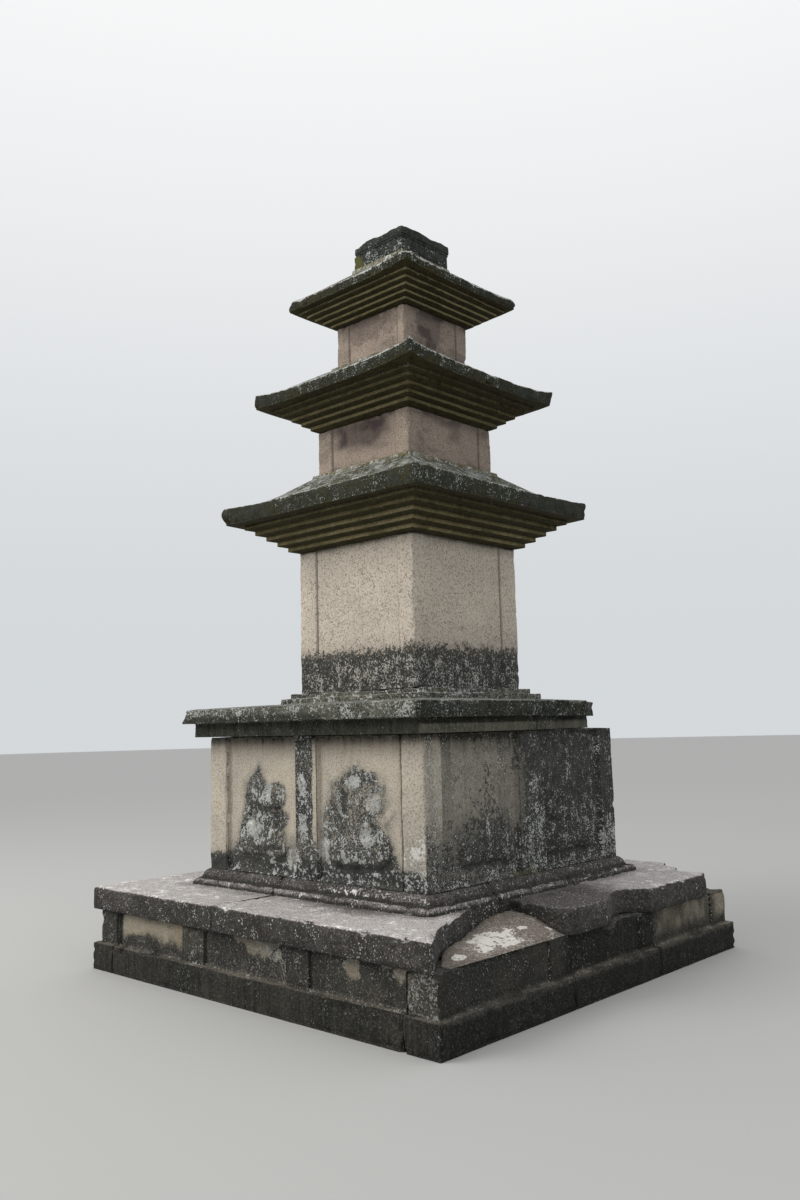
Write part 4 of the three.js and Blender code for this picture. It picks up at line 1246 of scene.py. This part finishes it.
def finial_masks(p, n):
    x, _, z = p.T
    drift, fine = noise(p, 90, 702), noise(p, 34, 704)
    front, right, _, _ = facing(n)
    top, rim = ease(n[:, 2], 0.5, 0.9), ease(z, GROOVE_TOP, GROOVE_TOP + 6)
    groove_shade = within(z, GROOVE_LOW + 1, GROOVE_TOP + 1, 4)
    left = fall(x + 50 * drift, -215, -120) * fall(z + 25 * drift, 5290, 5345) * front
    # Painted shade: darker in the groove and on the right side
    return marks(
        crust=0.75 + 0.1 * drift,
        film=0.36 + 0.6 * groove_shade + 0.4 * rim * (1 - top) + 0.5 * right * rim + 0.2 * right
        + 0.3 * drift - 0.2 * top,
        warm=0.3,
        pale=0.12 * (1 - rim) * ease(fine, -0.2, 0.4) + 0.1 * top,
        flecks=0.45 - 0.14 * rim + 0.10 * top - 0.2 * groove_shade - 0.10 * right - 0.14 * right * rim - 0.2 * left
        + 0.1 * drift,
        coarse=0.3,
        moss=0.8 * left,
    )


# The rubble inside the two base levels, with the mortar that slopes up to the broken slabs on the right

# The rubble inside the low wall, and its core that stands up between the slabs: a box and its two heights
LOW_RUBBLE = ([-1384.7, 1384.7, -1384.7, 1384.7], 0, 415)
RUBBLE_CORE = ([-244.7, 244.7, -482.7, 482.7], 380, 674)
MORTAR_FOOT, MORTAR_RISE = 417, 91
MORTAR_EDGE = [
    (1519, -1492), (1592, -1500), (1597, -1200), (1597, -900), (1597, -600), (1597, -453), (1573, -470),
    (1515, -488), (1430, -468), (1343, -447), (1255, -427), (1162, -405), (1162, -540), (1164, -640),
    (1166, -700), (1174, -792), (1204, -882), (1274, -1008), (1303, -1096), (1355, -1234), (1400, -1336),
]
# Where it is smooth and nearly white: how soft the edge is, how far it sways, and the outline
MORTAR_WHITE = [
    (46, 2.2, [
        (1311, -1049), (1243, -904), (1252, -822), (1290, -776), (1347, -753), (1373, -712),
        (1428, -736), (1491, -745), (1549, -768), (1555, -890), (1541, -1009), (1543, -1100),
        (1534, -1176), (1500, -1202), (1463, -1104), (1394, -1063), (1364, -1096)]),
    (6, 0.4, [(1396, -683), (1448, -616), (1466, -652), (1452, -701)]),
    (5, 0.3, [(1485, -538), (1518, -505), (1553, -485), (1541, -529)]),
]


def mortar_height(x, y):
    """The top of the mortar: highest at the joint of the two slabs. It falls to the wall's outer edge with
    the cube of the way there, and in two soft steps towards the near corner."""
    outwards = 1 - np.clip((x - 1165) / 432, 0, 1) ** 3
    return MORTAR_FOOT + MORTAR_RISE * outwards * (0.37 * ease(y, -1500, -1230) + 0.63 * ease(y, -880, -560))


def mortar():
    outline, _ = resampled(MORTAR_EDGE, 12, [3] * len(MORTAR_EDGE), 811)
    rows = [(0.02, 0, 0), (0.5, 0, 0), (1, 0, 0)] + [(s, 0, 1) for s in np.linspace(1, 0.02, 44)]
    grid = outline_rings(outline, rows, (1385, -820))
    height = mortar_height(grid[..., 0], grid[..., 1])
    height = height + 6 * noise(grid, 90, 812) + 3 * noise(grid, 30, 813, 2)
    grid[..., 2] = np.where(grid[..., 2] > 0.5, most(height, MORTAR_FOOT - 0.5), SLAB_LOW + 0.2)
    return grid


def fill_masks(p, n):
    x, y, _ = p.T
    drift, fine = noise(p, 200, 814), noise(p, 50, 815)
    sway = 16 * fine + 10 * drift
    white = most(*(blot(x, y, outline, soft, far * sway) for soft, far, outline in MORTAR_WHITE))
    white = most(white, oval(x, y, (1505, -1330, 46, 62), 0.5 * fine))
    rim = ease(x + 8 * fine, 1575, 1592)
    # Painted shadow: the mortar is darker along its edge, under the broken slabs
    edge = (1 - white) * ease(blot(x, y, MORTAR_EDGE, 60), 0.99, 0.4)
    return marks(
        crust=0.2 + 0.2 * drift,
        film=0.1 + 0.7 * edge * (1 - rim) + 0.2 * drift - 0.4 * white,
        warm=0.7 + 0.4 * drift,
        pale=most(0.6 * white, 0.3 * rim),
        flecks=0.40 + 0.1 * drift,
    )


def fill(node, seed, boxes, extra=()):
    grids = list(extra)
    for box, low, high in boxes:
        grid = rings(block_rows(box, low, high, 80, (10, 10), 4), (0, 1, 0, 1), [0.04] * 4, 20)[0]
        grids.append(weathered(grid, seed, 5))
    stone(node, grids, "rubble_fill", fill_masks)


finial()
fill("lower_fill", 801, [LOW_RUBBLE, RUBBLE_CORE], [mortar()])
fill("upper_fill", 802, [extent("upper_fill")])


# Studio: a pale floor, a soft sky that is brighter above, and one large soft light from the front left

AROUND, RADII = 64, np.array([0.01, 8, 30, 90])
turns = np.linspace(0, 2 * math.pi, AROUND, endpoint=False)
floor_points = np.stack(
    [np.outer(RADII, np.cos(turns)), np.outer(RADII, np.sin(turns)), np.zeros((4, AROUND))], -1)
here, base = np.arange(AROUND), AROUND * np.arange(3)[:, None]
beside = np.roll(here, -1)
floor_faces = np.stack([base + here, base + AROUND + here, base + AROUND + beside, base + beside], -1)
floor_mesh = bpy.data.meshes.new("floor")
floor_mesh.from_pydata(
    floor_points.reshape(-1, 3).tolist(), [], floor_faces.reshape(-1, 4).tolist() + [list(range(AROUND))])
floor = bpy.data.objects.new("floor", floor_mesh)
scene = bpy.context.scene
scene.collection.objects.link(floor)
paint = bpy.data.materials.new("floor_paint")
paint.use_nodes = True
finish = paint.node_tree.nodes["Principled BSDF"].inputs
finish["Base Color"].default_value = (0.42, 0.42, 0.41, 1)
finish["Roughness"].default_value = 0.95
floor_mesh.materials.append(paint)

world = bpy.data.worlds.new("sky")
world.use_nodes = True
sky = world.node_tree
up = add_node(sky, "ShaderNodeTexCoord", {}, "Generated")
up = up.add("ShaderNodeSeparateXYZ", {0: up}, "Z")
haze = mixed(up.ramp(0.05, 0.85), (0.66, 0.69, 0.71), (1.0, 1.0, 1.0))
sky.links.new(haze.socket, sky.nodes["Background"].inputs["Color"])
sky.nodes["Background"].inputs["Strength"].default_value = 1.0
scene.world = world
scene.view_settings.view_transform = "Standard"


def placed(name, data, side, above, back, at):
    """A light or camera that looks along -back from its place, with its own sideways and upward
    directions."""
    made = bpy.data.objects.new(name, data)
    scene.collection.objects.link(made)
    made.matrix_world = Matrix([[*row, place] for row, place in zip(np.stack([side, above, back], 1), at)]
                               + [[0, 0, 0, 1]])
    return made


def area(name, at, toward, width, power, tint):
    data = bpy.data.lights.new(name, "AREA")
    data.shape, data.size, data.energy, data.color = "SQUARE", width, power, tint
    back = np.subtract(at, toward) / np.linalg.norm(np.subtract(at, toward))
    side = np.cross([0, 0, 1.0], back)
    side /= np.linalg.norm(side)
    placed(name, data, side, np.cross(back, side), back, at)


area("key", (-5, -9, 10), (0, 0, 2.4), 7, 900, (1.0, 0.97, 0.92))
area("fill", (9, -3, 7), (0, 0, 2.2), 8, 60, (0.92, 0.96, 1.0))

# The camera, from the photograph's level and corner lines: its place, and how far it is turned, tilted and
# rolled
CAMERA_AT = (5.1084, -5.5796, 1.6629)
azimuth, pitch, roll = np.radians([42.96, 7.0755, -1.4081])
ahead = np.array([-np.sin(azimuth) * np.cos(pitch), np.cos(azimuth) * np.cos(pitch), np.sin(pitch)])
right = np.array([np.cos(azimuth), np.sin(azimuth), 0.0])
upright = np.cross(right, ahead)
side, above = np.cos(roll) * right + np.sin(roll) * upright, np.cos(roll) * upright - np.sin(roll) * right
lens = bpy.data.cameras.new("camera")
lens.sensor_width, lens.lens, lens.clip_end = 36, 30.352, 500
scene.camera = placed("camera", lens, side, above, -ahead, CAMERA_AT)
